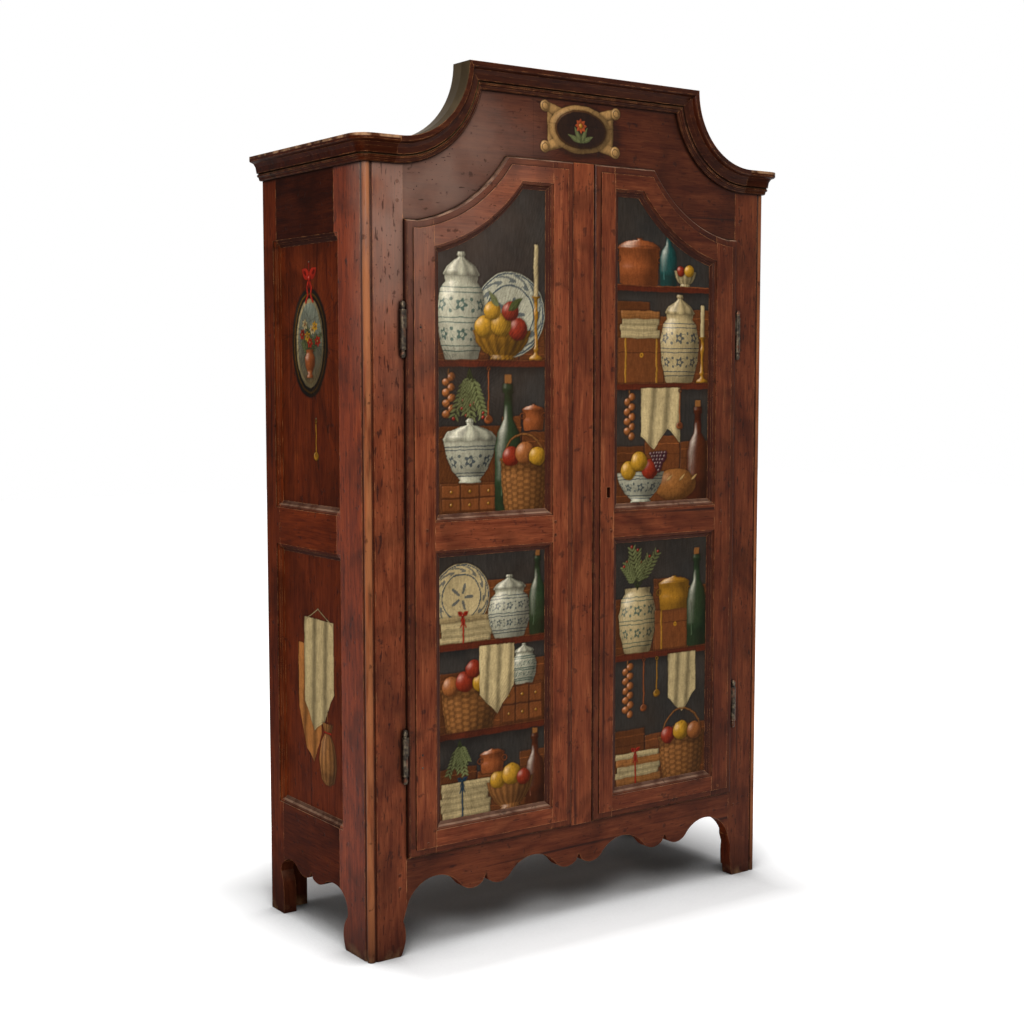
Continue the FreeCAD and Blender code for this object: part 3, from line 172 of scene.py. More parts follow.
PLAIN_DINGS, POST_DINGS = 0.325, 0.375
# Strength of the grey bloom and painted sheen on plain pieces, front posts and painted panels.
PLAIN_BLOOM_AND_SHEEN, POST_BLOOM_AND_SHEEN, PAINT_BLOOM_AND_SHEEN = 0.54, 0.9, 0.2
WAX_GLOSS = 0.04
SIDE_GLOSS = 0.01
WAX_COAT, CORNICE_COAT = 0.05, 0.04
COAT_ROUGHNESS = 0.2
# The cornice's tone: partly the wood's own, partly painted shade on faces that look down and away from the
# light.
CORNICE_TONE_AND_SHADE = 0.25
CORNICE_GLOSS = 0.03
WALNUT_DIRT_AND_SHADE = 0.95
WALNUT_ROUGHNESS = 0.42
GRAIN, FIGURE, FLECK, SHAKE = 0.05, 0.2, 0.12, 0.015     # scales along the grain, with 1 across it
EVEN = (1.0, 1.0, 1.0)
BEAD_STREAKS = (1.0, 1.0, 0.12)
MOULDING_DEPTHS = (0.8 * MM, 4 * MM)
PANEL_DEPTHS = (20 * MM, 15 * MM)
SHEEN_HEIGHTS, SHEEN_ACROSS, SHEEN_DEPTHS = (1.3, 1.9), (-0.05, -0.4), (-0.15, -0.235)
BEAD_REACH = (17 * MM, 14 * MM)
ARRIS_REACH = (5 * MM, 3 * MM)
LOW_DARKENING_HEIGHTS, SCUFF_HEIGHTS = (0.2, 0.02), (0.03, 0.004)
BRUSH_STREAKS = (1.0, 1.0, 0.25)
WALNUT = [linear(40, 15, 7), linear(87, 38, 20), linear(115, 58, 33), linear(147, 86, 51)]
# Painted shading: a deeper, warmer copy of the walnut for the faces that look sideways.
SIDE_SHADED_WALNUT = [linear(40, 12, 3), linear(90, 33, 12), linear(120, 49, 20), linear(152, 76, 34)]
PLAIN_WOOD = [linear(58, 42, 28), linear(104, 78, 52), linear(139, 108, 76), linear(168, 140, 104)]
STOP_PLACES = (0.27, 0.43, 0.58, 0.76)
IRON_STOPS = [(0.35, linear(24, 19, 15)), (0.5, linear(50, 41, 31)), (0.64, linear(86, 74, 57))]
STROKE_STOPS = [(0.3, linear(150, 150, 150)), (0.7, linear(255, 255, 255))]
WORN = linear(190, 128, 80)
ARRIS = linear(172, 132, 98)
RUBBED_BEAD = linear(158, 98, 60)
# Dark brown of dirt, cracks, dents and worm holes, also used for painted shade in corners.
GRIME_AND_SHADE = linear(24, 13, 9)
# Brown of the painted shade in hollows and in sunk mouldings.
SHADE_BROWN = linear(42, 18, 11)
DUST = linear(138, 108, 88)
BLOOM_AND_SHEEN = linear(128, 104, 92)
SCUFFED = linear(132, 98, 68)
RAW = linear(62, 50, 32)
RUST = linear(92, 46, 24)
VARNISH = linear(240, 229, 208)
OLD_VARNISH = linear(92, 62, 30)
PAINT = "paint"


def drawn_out(grain, share):
    """A texture's scales, with a smaller one along the grain, which draws it out."""
    return tuple(share if axis == grain else 1.0 for axis in "XYZ")


def looks_sideways(tree):
    return tree.span(tree.math("ABSOLUTE", tree.axes(tree.normal())["X"]), 0.45, 0.85)


def looks_up(tree):
    return tree.axes(tree.normal())["Z"]


def looks_at_sweep(tree):
    """How far a face looks to the nearer of the two lines about which the cornice is swept."""
    place, normal = tree.axes(), tree.axes(tree.normal())
    outward = tree.times(tree.math("SIGN", place["X"]), normal["X"])
    across = tree.minus(SWEEP_CENTRE, tree.math("ABSOLUTE", place["X"]))
    above = tree.minus(CREST_TOP, place["Z"])
    apart = tree.add("CombineXYZ", X=across, Z=above).outputs[0]
    unit = tree.add("VectorMath", {"operation": "NORMALIZE"}, Vector=apart).outputs[0]
    return tree.dot(unit, tree.add("CombineXYZ", X=outward, Z=normal["Z"]).outputs[0])


def stops(tones, tone):
    return [(place, part * tone) for place, part in zip(STOP_PLACES, tones)]


def wood_colour(tree, grain, tones, seed, tone, shaded_side_tones=None):
    """Boards with fine pores, a broad figure and blotches: their colour, their height and the blotches."""
    shift = (seed * 1.7, seed * 0.9, seed * 2.3)
    pores = tree.noise(420.0, 3.0, 0.0, drawn_out(grain, GRAIN), shift)
    figure = tree.noise(22.0, 8.0, 1.4, drawn_out(grain, FIGURE), shift)
    streak = tree.noise(120.0, 5.0, 0.4, drawn_out(grain, GRAIN), shift)
    blotch = tree.noise(7.0, 7.0, 0.8, EVEN, shift)
    tint = tree.plus(tree.times(figure, 0.42), tree.times(streak, 0.3))
    tint = tree.plus(tint, tree.times(pores, 0.28))
    colour = tree.ramp(tint, stops(tones, tone))
    # Faces that look sideways take the shaded copy of the walnut, as painted shade.
    if shaded_side_tones is not None:
        colour = tree.mix(looks_sideways(tree), colour, tree.ramp(tint, stops(shaded_side_tones, tone)))
    colour = tree.cover(colour, tree.span(blotch, 0.46, 0.7, 0.0, 0.55), tones[0], tone * 0.8)
    shake = tree.span(tree.noise(42.0, 2.0, 0.0, drawn_out(grain, SHAKE), shift), 0.33, 0.28, 0.0, 0.75)
    colour = tree.cover(colour, shake, GRIME_AND_SHADE, 0.8)
    fleck = tree.noise(300.0, 2.0, 0.0, drawn_out(grain, FLECK), shift)
    colour = tree.cover(colour, tree.span(fleck, 0.38, 0.3, 0.0, 0.5), tones[0], tone * 0.6)
    return colour, tree.minus(pores, shake), blotch


def openness(tree, reach):
    """How much open air lies within a distance of a face: 1 on a plain one, less in a hollow."""
    return tree.add("AmbientOcclusion", {"samples": 8}, Distance=reach).outputs["AO"]


def aged(tree, colour, wear, dirt_and_shade, reach=2.6 * MM):
    """Pale wear on the arrises, dirt and painted shade in the corners, and darker wax with painted shade in
    every hollow.
    """
    bevel = tree.add("Bevel", {"samples": 4}, Radius=reach).outputs[0]
    edge = tree.span(tree.dot(bevel, tree.normal()), 0.985, 0.85)
    near, wide = openness(tree, 9 * MM), openness(tree, 42 * MM)
    # Painted shade, with darker wax, over the broad hollows.
    colour = tree.cover(colour, tree.span(wide, 0.94, 0.5, 0.0, 0.72), SHADE_BROWN)
    scratch = tree.times(tree.patches(48.0, 5.0, 0.43, 0.6, 0.08, 1.0), wear)
    rub = tree.times(tree.times(edge, tree.span(near, 0.55, 0.9)), scratch)
    # Dirt and painted shade in the tight corners.
    return tree.cover(tree.cover(colour, rub, WORN), tree.times(tree.span(near, 0.9, 0.5), dirt_and_shade), GRIME_AND_SHADE)


def bare(tree, colour, share, blotch):
    """Raw and dusty wood on the faces that were never polished."""
    return tree.mix(share, colour, tree.mix(tree.span(blotch, 0.4, 0.6), shade(RAW, 0.6), shade(RAW)))


def sunk(tree, colour, face):
    """Painted shade: mouldings that lie below a face of the frame are darker."""
    axis, place = face
    depth = tree.minus(tree.math("ABSOLUTE", place), tree.math("ABSOLUTE", tree.axes()[axis]))
    below = tree.times(tree.span(depth, *MOULDING_DEPTHS), tree.span(depth, *PANEL_DEPTHS, 0.0, 0.85))
    return tree.cover(colour, below, SHADE_BROWN, 0.9)


def dusted(tree, colour):
    """Dust and pale wax on ledges that look upwards."""
    drift = tree.patches(26.0, 4.0, 0.36, 0.6, 0.15, 0.7)
    return tree.cover(colour, tree.times(tree.span(looks_up(tree), 0.25, 0.75), drift), DUST)


def bloom_and_sheen(tree, colour, weight):
    """Grey bloom in the wax and a painted sheen of reflected light, high up on the left of the front."""
    axes = tree.axes()
    high = tree.span(axes["Z"], *SHEEN_HEIGHTS)
    leftward = tree.span(axes["X"], *SHEEN_ACROSS)
    front = tree.span(axes["Y"], *SHEEN_DEPTHS)
    cloudy = tree.patches(7.0, 5.0, 0.3, 0.62, 0.35, 1.0)
    haze_and_sheen = tree.times(tree.times(high, leftward), tree.times(cloudy, front))
    return tree.cover(colour, tree.times(haze_and_sheen, weight), BLOOM_AND_SHEEN, 0.88)


def dinged(tree, colour, grain, seed, dings):
    """Dark dents along the grain and small pits. Dings is the threshold of both: more with a higher one."""
    shift = (seed * 1.1, seed * 1.9, seed * 0.6)
    dents = tree.noise(130.0, 3.0, 0.0, drawn_out(grain, FIGURE), shift)
    pits = tree.noise(190.0, 4.0, 0.0, EVEN, shift)
    colour = tree.cover(colour, tree.span(dents, dings, dings - 0.05, 0.0, 0.7), GRIME_AND_SHADE)
    return tree.cover(colour, tree.span(pits, dings - 0.04, dings - 0.09, 0.0, 0.75), GRIME_AND_SHADE, 1.2)


def bead_worn(tree, colour):
    """The corner bead and its quirks are rubbed to a lighter, more orange brown."""
    axes = tree.axes()
    from_side = tree.minus(HALF_WIDTH, tree.math("ABSOLUTE", axes["X"]))
    near = tree.math("MAXIMUM", from_side, tree.minus(axes["Y"], POST_FRONT))
    rubbed = tree.span(tree.noise(60.0, 5.0, 0.0, BEAD_STREAKS), 0.34, 0.6, 0.1, 0.75)
    return tree.cover(colour, tree.times(tree.span(near, *BEAD_REACH), rubbed), RUBBED_BEAD, 0.85)


def top_worn(tree, colour):
    """The upper arris of the level part of the cornice is worn to pale wood."""
    place = tree.axes()
    below = tree.math("ABSOLUTE", tree.minus(place["Z"], SHOULDER_TOP - 2.5 * MM))
    level = tree.math("GREATER_THAN", tree.math("ABSOLUTE", place["X"]), SWEEP_CENTRE)
    rubbed = tree.patches(30.0, 5.0, 0.42, 0.6, 0.05, 0.85)
    share = tree.times(tree.times(tree.span(below, *ARRIS_REACH), level), rubbed)
    return tree.cover(colour, share, ARRIS, 0.8)


def low_down(tree, colour):
    """Darker towards the floor, and scuffed at the ends of the feet."""
    low = tree.axes()["Z"]
    # Darker towards the floor, in the same brown as the painted shade.
    colour = tree.cover(colour, tree.span(low, *LOW_DARKENING_HEIGHTS, 0.0, 0.6), SHADE_BROWN, 1.2)
    foot = tree.times(tree.span(low, *SCUFF_HEIGHTS), tree.patches(30.0, 4.0, 0.45, 0.65))
    return tree.cover(colour, tree.times(foot, 0.7), SCUFFED, 0.8)


def varnished(tree, colour):
    """Old varnish over paint: darkened in patches, crossed by fine cracks and streaked by the brush."""
    cells = tree.add("TexVoronoi", {"feature": "DISTANCE_TO_EDGE"}, Vector=tree.place, Scale=120.0)
    colour = tree.mix(1.0, colour, shade(VARNISH), "MULTIPLY")
    colour = tree.cover(colour, tree.span(cells.outputs["Distance"], 0.035, 0.0, 0.0, 0.35), GRIME_AND_SHADE)
    colour = tree.cover(colour, tree.patches(9.0, 5.0, 0.35, 0.7, 0.0, 0.2), OLD_VARNISH, 0.4)
    stroke = tree.noise(160.0, 3.0, 0.0, BRUSH_STREAKS)
    return tree.mix(0.4, colour, tree.ramp(stroke, STROKE_STOPS), "MULTIPLY")


def paint_of(tree):
    return tree.add("Attribute", {"attribute_name": PAINT}).outputs


def waxed(tree, gloss, coat):
    """Wax, with a clear coat over it on pieces that don't lie at the sides or the back."""
    tree.set(tree.shader, Specular_IOR_Level=gloss)
    if coat:
        tree.set(tree.shader, Coat_Weight=coat, Coat_Roughness=COAT_ROUGHNESS)


def walnut(name, grain, seed, tone=1.0, wear=0.62, painted=False, face=None):
    """Waxed old walnut, with worm holes and knocks, scuffed near the floor. Motifs may be painted straight
    on it, where the paint's alpha says."""
    tree = new_tree(name)
    post = "front_post" in name
    colour, pores, blotch = wood_colour(tree, grain, WALNUT, seed, tone, SIDE_SHADED_WALNUT)
    # Painted sheen of reflected light, with grey bloom, high on the left of the front.
    colour = bloom_and_sheen(tree, colour, POST_BLOOM_AND_SHEEN if post else PLAIN_BLOOM_AND_SHEEN)
    colour = dinged(tree, colour, grain, seed, POST_DINGS if post else PLAIN_DINGS)
    colour = bead_worn(tree, colour)
    # Painted shade on the mouldings that lie below the frame's face.
    if face is not None:
        colour = sunk(tree, colour, face)
    # Wear, with dirt and painted shade in the corners and hollows.
    colour = dusted(tree, aged(tree, colour, wear, WALNUT_DIRT_AND_SHADE))
    if name.startswith("frieze"):
        unseen = tree.math("MAXIMUM", looks_at_sweep(tree), looks_up(tree))
        colour = bare(tree, colour, tree.span(unseen, 0.6, 0.85), blotch)
    holes = tree.add("TexVoronoi", Vector=tree.place, Scale=70.0).outputs["Distance"]
    hole = tree.times(tree.span(holes, 0.12, 0.08), tree.patches(9.0, 2.0, 0.52, 0.58))
    colour = low_down(tree, tree.cover(colour, hole, GRIME_AND_SHADE, 0.6))
    knocks = tree.patches(42.0, 4.0, 0.3, 0.36)
    colour = tree.cover(colour, tree.span(knocks, 1.0, 0.0, 0.0, 0.55), GRIME_AND_SHADE, 1.2)
    if painted:
        paint = paint_of(tree)
        colour = tree.mix(paint["Alpha"], colour, varnished(tree, paint["Color"]))
    tree.height(tree.minus(tree.plus(tree.times(pores, 0.25), knocks), hole), 0.5 * MM)
    hidden = "side" in name or "rear" in name
    waxed(tree, SIDE_GLOSS if hidden else WAX_GLOSS, 0.0 if hidden else WAX_COAT)
    return tree.finish(colour, tree.plus(WALNUT_ROUGHNESS, tree.times(blotch, 0.16)))


def plain_boards(name, grain, seed):
    """Unpolished boards of the inside and back, dusty and dry."""
    tree = new_tree(name)
    colour, pores, blotch = wood_colour(tree, grain, PLAIN_WOOD, seed, 1.0)
    tree.height(pores, 0.3 * MM)
    return tree.finish(aged(tree, colour, wear=0.25, dirt_and_shade=0.8), tree.span(blotch, 0.3, 0.7, 0.62, 0.8))


def moulded_walnut(name, seed, raw_from):
    """Cornice: walnut in front, with a raw and dusty top. Raw_from tells how far a face looks that way."""
    tree = new_tree(name)
    colour, pores, blotch = wood_colour(tree, "X", WALNUT, seed, CORNICE_TONE_AND_SHADE, SIDE_SHADED_WALNUT)
    colour = aged(tree, top_worn(tree, colour), wear=0.5, dirt_and_shade=1.0, reach=3 * MM)
    hidden = "side" in name
    waxed(tree, SIDE_GLOSS if hidden else CORNICE_GLOSS, 0.0 if hidden else CORNICE_COAT)
    raw = tree.span(raw_from(tree), 0.6, 0.85)
    tree.height(tree.plus(tree.times(pores, 0.3), tree.patches(30.0, 2.0, 0.3, 0.42)), 0.5 * MM)
    return tree.finish(bare(tree, colour, raw, blotch), tree.plus(0.3, tree.times(raw, 0.5)))


def wrought_iron(name, seed):
    """Old iron, browned and olive, with rust in patches."""
    tree = new_tree(name)
    mottle = tree.noise(90.0, 5.0, 0.0, EVEN, (seed, seed, seed))
    colour = tree.cover(tree.ramp(mottle, IRON_STOPS), tree.patches(38.0, 3.0, 0.52, 0.66, 0.0, 0.7), RUST)
    tree.height(mottle, 0.4 * MM)
    return tree.finish(colour, tree.span(mottle, 0.3, 0.7, 0.55, 0.36), Metallic=0.75)


def painted_panel(name):
    tree = new_tree(name)
    # Painted shade in the corners of the panel, beside its mouldings.
    corner = tree.span(openness(tree, 14 * MM), 0.95, 0.5, 0.0, 0.7)
    colour = tree.cover(varnished(tree, paint_of(tree)["Color"]), corner, GRIME_AND_SHADE, 0.8)
    tree.height(tree.noise(160.0, 3.0, 0.0, BRUSH_STREAKS), 0.12 * MM)
    gloss = tree.patches(14.0, 3.0, 0.3, 0.7, 0.4, 0.6)
    # The painted panels take the same painted sheen, more weakly.
    return tree.finish(bloom_and_sheen(tree, colour, PAINT_BLOOM_AND_SHEEN), gloss, Specular_IOR_Level=WAX_GLOSS)


# ---------------------------------------------------------------- painting
LIGHT = np.array([-0.55, 0.45, 0.70])
LIGHT = LIGHT / np.linalg.norm(LIGHT)
EDGE = 1.6                           # how soft a painted edge is, in millimetres
CLOUD_SIDE = 64
SHINE_POWER = 18


def cloud(u, v, size, seed):
    """Smooth random value between 0 and 1 over a plane."""
    table = np.random.default_rng(seed).random((CLOUD_SIDE, CLOUD_SIDE))
    x, y = u / size, v / size
    column, row = np.floor(x).astype(int), np.floor(y).astype(int)
    fx, fy = x - column, y - row
    fx, fy = fx * fx * (3 - 2 * fx), fy * fy * (3 - 2 * fy)
    column, row = column % CLOUD_SIDE, row % CLOUD_SIDE
    right, above = (column + 1) % CLOUD_SIDE, (row + 1) % CLOUD_SIDE
    low = table[row, column] * (1 - fx) + table[row, right] * fx
    high = table[above, column] * (1 - fx) + table[above, right] * fx
    return low * (1 - fy) + high * fy


def least(*distances):
    return np.minimum.reduce(distances)


class Canvas:
    """Paint over the points of a flat mesh: u to the right and v up in millimetres, as the viewer sees it."""

    def __init__(self, u, v):
        self.u = u + 2.6 * (cloud(u, v, 22.0, 3) - 0.5) + 1.4 * (cloud(u, v, 7.0, 8) - 0.5)
        self.v = v + 2.6 * (cloud(u, v, 22.0, 4) - 0.5) + 1.4 * (cloud(u, v, 7.0, 9) - 0.5)
        self.colour = np.zeros((len(u), 3))
        self.cover = np.zeros(len(u))
        self.rough = 0.82 + 0.2 * cloud(u, v, 3.5, 5) + 0.16 * cloud(u, v, 14.0, 6)

    def lay(self, mask, colour, rough=True):
        mask = np.clip(mask, 0, 1)
        colour = np.broadcast_to(np.asarray(colour, dtype=float), self.colour.shape)
        if rough:
            colour = colour * self.rough[:, None]
        total = mask + self.cover * (1 - mask)
        share = np.where(total > 0, mask / np.maximum(total, 1e-6), 0)[:, None]
        self.colour = self.colour * (1 - share) + colour * share
        self.cover = total

    def fill(self, distance, colour, strength=1.0, edge=EDGE):
        """Paint a shape, by the distance inside its outline."""
        self.lay(np.clip(distance / edge + 0.5, 0, 1) * strength, colour)

    def lit(self, across, up, colour, ambient=0.22, gloss=0.0):
        """A colour shaded by which way its surface looks."""
        out = np.sqrt(np.clip(1 - across ** 2 - up ** 2, 0, 1))
        turn = np.clip(across * LIGHT[0] + up * LIGHT[1] + out * LIGHT[2], 0, 1)
        bounce = 0.12 * np.clip(across - 0.55, 0, 1)
        shine = gloss * turn ** SHINE_POWER
        colour = np.asarray(colour, dtype=float)
        return colour * (ambient + (1 - ambient) * turn + bounce)[:, None] + shine[:, None]

    def about(self, at, tilt):
        """Each point's place from another, along a tilt in degrees and across it."""
        x, y = self.u - at[0], self.v - at[1]
        a = math.radians(tilt)
        return x * math.cos(a) + y * math.sin(a), y * math.cos(a) - x * math.sin(a)

    # ------------------------------------------------ shapes
    def oval(self, at, radii, tilt=0.0):
        """Distance inside an oval, with the place in it as shares of its radii."""
        x, y = self.about(at, tilt)
        p, q = x / radii[0], y / radii[1]
        return (1 - np.sqrt(p ** 2 + q ** 2)) * min(radii), p, q

    def spot(self, at, radii, colour, tilt=0.0):
        self.fill(self.oval(at, radii, tilt)[0], colour)

    def ball(self, at, radii, colour, gloss=0.25, tilt=0.0, speckle=0.0):
        distance, p, q = self.oval(at, radii, tilt)
        self.shadow(distance, 5)
        tint = self.lit(p * 0.98, q * 0.98, colour, gloss=gloss)
        if speckle:
            tint = tint * (1 - speckle * (cloud(self.u, self.v, 4.0, 11) > 0.62))[:, None]
        self.fill(distance, tint)

    def shadow(self, distance, spread, strength=0.45):
        """Soft dark halo that an object throws on what is behind it."""
        self.lay(np.clip(1 + distance / spread, 0, 1) * strength, linear(12, 9, 8), False)

    def turned(self, at, profile, colour, gloss=0.3, pattern=None):
        """A vessel turned about an upright axis. The profile gives height and half width, from below."""
        heights, widths = np.array(profile, dtype=float).T
        beside, rise = self.u - at[0], self.v - at[1]
        half = np.interp(rise, heights, widths)
        middles = (heights[1:] + heights[:-1]) / 2
        slope = np.interp(rise, middles, np.diff(widths) / np.maximum(np.diff(heights), 0.5))
        across = beside / np.maximum(half, 0.5)
        distance = least(half - np.abs(beside), rise, heights[-1] - rise)
        self.shadow(distance, 7)
        tilt = np.clip(-slope, -0.75, 0.75) * 0.8
        base = np.asarray(colour, dtype=float)
        if pattern is not None:
            base = pattern(np.arcsin(np.clip(across, -1, 1)), rise, base)
        sideways = across * np.sqrt(1 - tilt ** 2) * 0.98
        self.fill(distance, self.lit(sideways, tilt, base, gloss=gloss))

    def slab(self, left, low, width, height, colour, soft=3.0):
        """A box seen from in front, with rounded edges."""
        x, y = self.u - left, self.v - low
        distance = least(x, width - x, y, height - y)
        self.shadow(distance, 6)
        across = np.clip(1 - (width - x) / soft, 0, 0.8) - np.clip(1 - x / soft, 0, 0.8)
        up = np.clip(1 - (height - y) / soft, 0, 0.6) - np.clip(1 - y / soft, 0, 0.6)
        self.fill(distance, self.lit(across * 0.9, up * 0.9, colour, gloss=0.05))
        return x, y, distance

    def line(self, start, end, width, colour, end_width=None, halo=0.35):
        """A straight round stroke, that may taper."""
        x, y = self.u - start[0], self.v - start[1]
        dx, dy = end[0] - start[0], end[1] - start[1]
        length = max(math.hypot(dx, dy), 1e-6)
        t = np.clip((x * dx + y * dy) / length ** 2, 0, 1)
        end_width = width if end_width is None else end_width
        half = (width + (end_width - width) * t) / 2
        distance = half - np.hypot(x - t * dx, y - t * dy)
        if halo:
            self.shadow(distance, 3, halo)
        side = np.clip((y * dx - x * dy) / length / np.maximum(half, 0.4), -0.95, 0.95)
        self.fill(distance, self.lit(side * (-dy / length), side * (dx / length), colour))

    def path(self, points, width, colour, halo=0.35):
        for start, end in zip(points, points[1:]):
            self.line(start, end, width, colour, halo=halo)

    def arc(self, at, radius, start, end, width, colour, halo=0.35, squash=1.0):
        angles = np.radians(np.linspace(start, end, max(4, int(abs(end - start) / 14))))
        points = [(at[0] + radius * math.cos(a), at[1] + radius * squash * math.sin(a)) for a in angles]
        self.path(points, width, colour, halo)

    def leaf(self, at, length, width, turn, colour, vein=True):
        """A pointed leaf or petal from its stalk outwards."""
        a = math.radians(turn)
        along, off = self.about(at, turn)
        share = np.clip(along / length, 0, 1)
        half = width / 2 * np.sin(math.pi * share ** 0.8)
        distance = np.where((along > 0) & (along < length), half - np.abs(off), -np.abs(off) - 1)
        self.shadow(distance, 3, 0.3)
        side = np.clip(off / np.maximum(half, 0.5), -1, 1)
        tint = self.lit(-0.5 * side * math.sin(a), 0.5 * side * math.cos(a), colour)
        if vein:
            tint = tint * (1 + 0.5 * (np.abs(off) < 0.7))[:, None]
        self.fill(distance, tint)

    def cloth(self, left, right, top, bottoms, colour, folds=3.2, phase=0.0, sway=0.12):
        """Hanging cloth: a straight top, a hem through given drops, and upright folds."""
        share = np.clip((self.u - left) / (right - left), 0, 1)
        hem = np.interp(share, np.linspace(0, 1, len(bottoms)), bottoms)
        hem = hem + 2.2 * np.sin(share * folds * 2 * math.pi + phase)
        distance = least(self.u - left, right - self.u, top - self.v, self.v - hem)
        self.shadow(distance, 7)
        turn = share * folds * 2 * math.pi + phase + sway * (top - self.v) / 12
        tint = self.lit(0.75 * np.cos(turn), 0.1 * np.sin(turn * 0.5), colour, ambient=0.3)
        hemline = np.abs(self.v - hem - 5) < 0.9
        self.fill(distance, tint * (1 - 0.3 * hemline)[:, None])

    def shelf(self, low, thickness, colour):
        """A shelf board with its lit front arris and the shade under it."""
        under = np.clip(1 - (low - self.v) / 22, 0, 1) * (self.v < low)
        self.lay(under * 0.6, linear(8, 6, 6), False)
        grain = 0.85 + 0.3 * cloud(self.u * 0.12, self.v, 2.5, 21)
        self.fill(least(self.v - low, low + thickness - self.v), colour * grain[:, None])
        self.fill(1.3 - np.abs(self.v - low - thickness + 1.2), linear(150, 88, 52), 0.7, 1.0)


BLACK = linear(46, 45, 46)
SHELF_RED = linear(86, 36, 22)
CREAM = linear(206, 190, 150)
CHALK = linear(196, 200, 188)
LEMON = linear(214, 164, 52)
GOLD = linear(190, 138, 44)
COPPER = linear(164, 92, 52)
LEATHER = linear(130, 76, 42)
TAN = linear(160, 108, 62)
RED = linear(170, 44, 32)
APPLE = linear(160, 54, 34)
PLUM = linear(74, 40, 52)
GREEN = linear(74, 88, 48)
SAGE = linear(112, 122, 84)
BLUE = linear(36, 66, 92)
TEAL = linear(28, 88, 92)
GLASS = linear(44, 66, 44)
BROWN_GLASS = linear(92, 44, 24)
BREAD = linear(168, 112, 60)
ONION = linear(178, 110, 62)
GLAZE_RUN = 60                       # length of glaze in a turn of one radian, in millimetres
SMALLEST_FLOWER = 8                  # in half the room between two bands, in millimetres


def banded(ink, lines):
    """A glaze with painted bands, and flowers, a vine and buds where there is room between two of them."""
    def pattern(turn, rise, base):
        run = turn * GLAZE_RUN
        mask = np.zeros_like(rise)
        for height in lines:
            mask = np.maximum(mask, np.clip(1.6 - np.abs(rise - height), 0, 1))
        for low, high in zip(lines, lines[1:]):
            middle, half = (low + high) / 2, (high - low) / 2
            if half < SMALLEST_FLOWER:
                continue
            step = half * 1.9
            near = run - step * np.round(run / step)
            reach, angle = np.hypot(near, rise - middle), np.arctan2(rise - middle, near)
            petals = (half * 0.58 * (0.8 + 0.2 * np.cos(5 * angle)) - reach) / 2
            mask = np.maximum(mask, np.clip(petals, 0, 0.85) * (reach > half * 0.2))
            vine = 1.1 - np.abs(rise - middle - half * 0.42 * np.sin(run * math.tau / step))
            mask = np.maximum(mask, np.clip(vine, 0, 0.7))
            beside = run + step / 2 - step * np.round((run + step / 2) / step)
            for side in (-1, 1):
                bud = half * 0.17 - np.hypot(beside, rise - middle - side * half * 0.45)
                mask = np.maximum(mask, np.clip(bud, 0, 0.8))
        return base * (1 - mask[:, None]) + ink * mask[:, None]
    return pattern


def woven(size):
    """Basket weave as lighter and darker squares that bulge."""
    def pattern(turn, rise, base):
        a = turn * 24 / size
        b = rise / size
        over = (np.floor(a) + np.floor(b)) % 2
        bulge = 0.55 + 0.45 * np.sin((a % 1) * math.pi) * np.where(over > 0, 1.0, 0.75)
        return base * (bulge * (0.8 + 0.35 * over))[:, None]
    return pattern


def ribbed(count):
    def pattern(turn, rise, base):
        return base * (0.82 + 0.28 * np.cos(turn * count))[:, None]
    return pattern


# ------------------------------------------------ motifs of a generic kitchen and linen store, on a canvas c
def scaled(profile, height, width):
    """A profile given in shares of a height and a half width."""
    return [(rise * height, half * width) for rise, half in profile]


def candlestick(c, x, low, height, candle):
    stem = height - 14
    foot = [(0, 20), (4, 21), (8, 17), (12, 7), (18, 5), (26, 9), (32, 5)]
    top = [(stem * 0.6, 4), (stem * 0.75, 8), (stem * 0.82, 4), (stem - 4, 6), (stem, 12), (stem + 3, 12)]
    c.turned((x, low), foot + top, GOLD, 0.5)
    c.turned((x, low + stem + 3), [(0, 7), (candle, 6.4), (candle + 2, 4)], CREAM, 0.1)
    c.line((x, low + stem + candle + 4), (x + 1, low + stem + candle + 9), 1.6, linear(40, 30, 24), halo=0)


def bottle(c, x, low, height, width, colour):
    w = width / 2
    neck = scaled([(0.5, 1), (0.62, 0.8), (0.72, 0.36), (0.92, 0.28), (0.93, 0.4), (1, 0.38)], height, w)
    c.turned((x, low), [(0, w * 0.8), (3, w)] + neck, colour, 0.55)
    gleam = x - w * 0.5
    c.line((gleam, low + height * 0.12), (gleam, low + height * 0.48), 3, colour * 2.6 + 0.05, 1.0, halo=0)
    c.slab(x - w * 0.26, low + height, w * 0.52, height * 0.07, TAN, 2)


def bowl(c, x, low, width, height, colour, pattern=None):
    w = width / 2
    side = scaled([(0.3, 0.66), (0.6, 0.88), (0.9, 0.98), (1, 1)], height, w)
    c.turned((x, low), [(0, w * 0.42), (4, w * 0.42), (6, w * 0.36)] + side, colour, 0.35, pattern)


def crock(c, x, low, height, width, colour, ink, lid=True):
    w = width / 2
    body = height * (0.78 if lid else 1.0)
    lines = [body * share for share in (0.1, 0.16, 0.44, 0.5, 0.8, 0.86)]
    side = scaled([(0.3, 0.94), (0.6, 1), (0.84, 0.86), (0.92, 0.66), (1, 0.7)], body, w)
    c.turned((x, low), [(0, w * 0.66), (3, w * 0.7)] + side, colour, 0.45, banded(ink, lines))
    if lid:
        top = scaled([(0.08, 0.6), (0.15, 0.2), (0.17, 0.12), (0.19, 0.18), (0.22, 0.14)], height, w)
        c.turned((x, low + body), [(0, w * 0.74), (3, w * 0.76)] + top, colour, 0.45, ribbed(9))


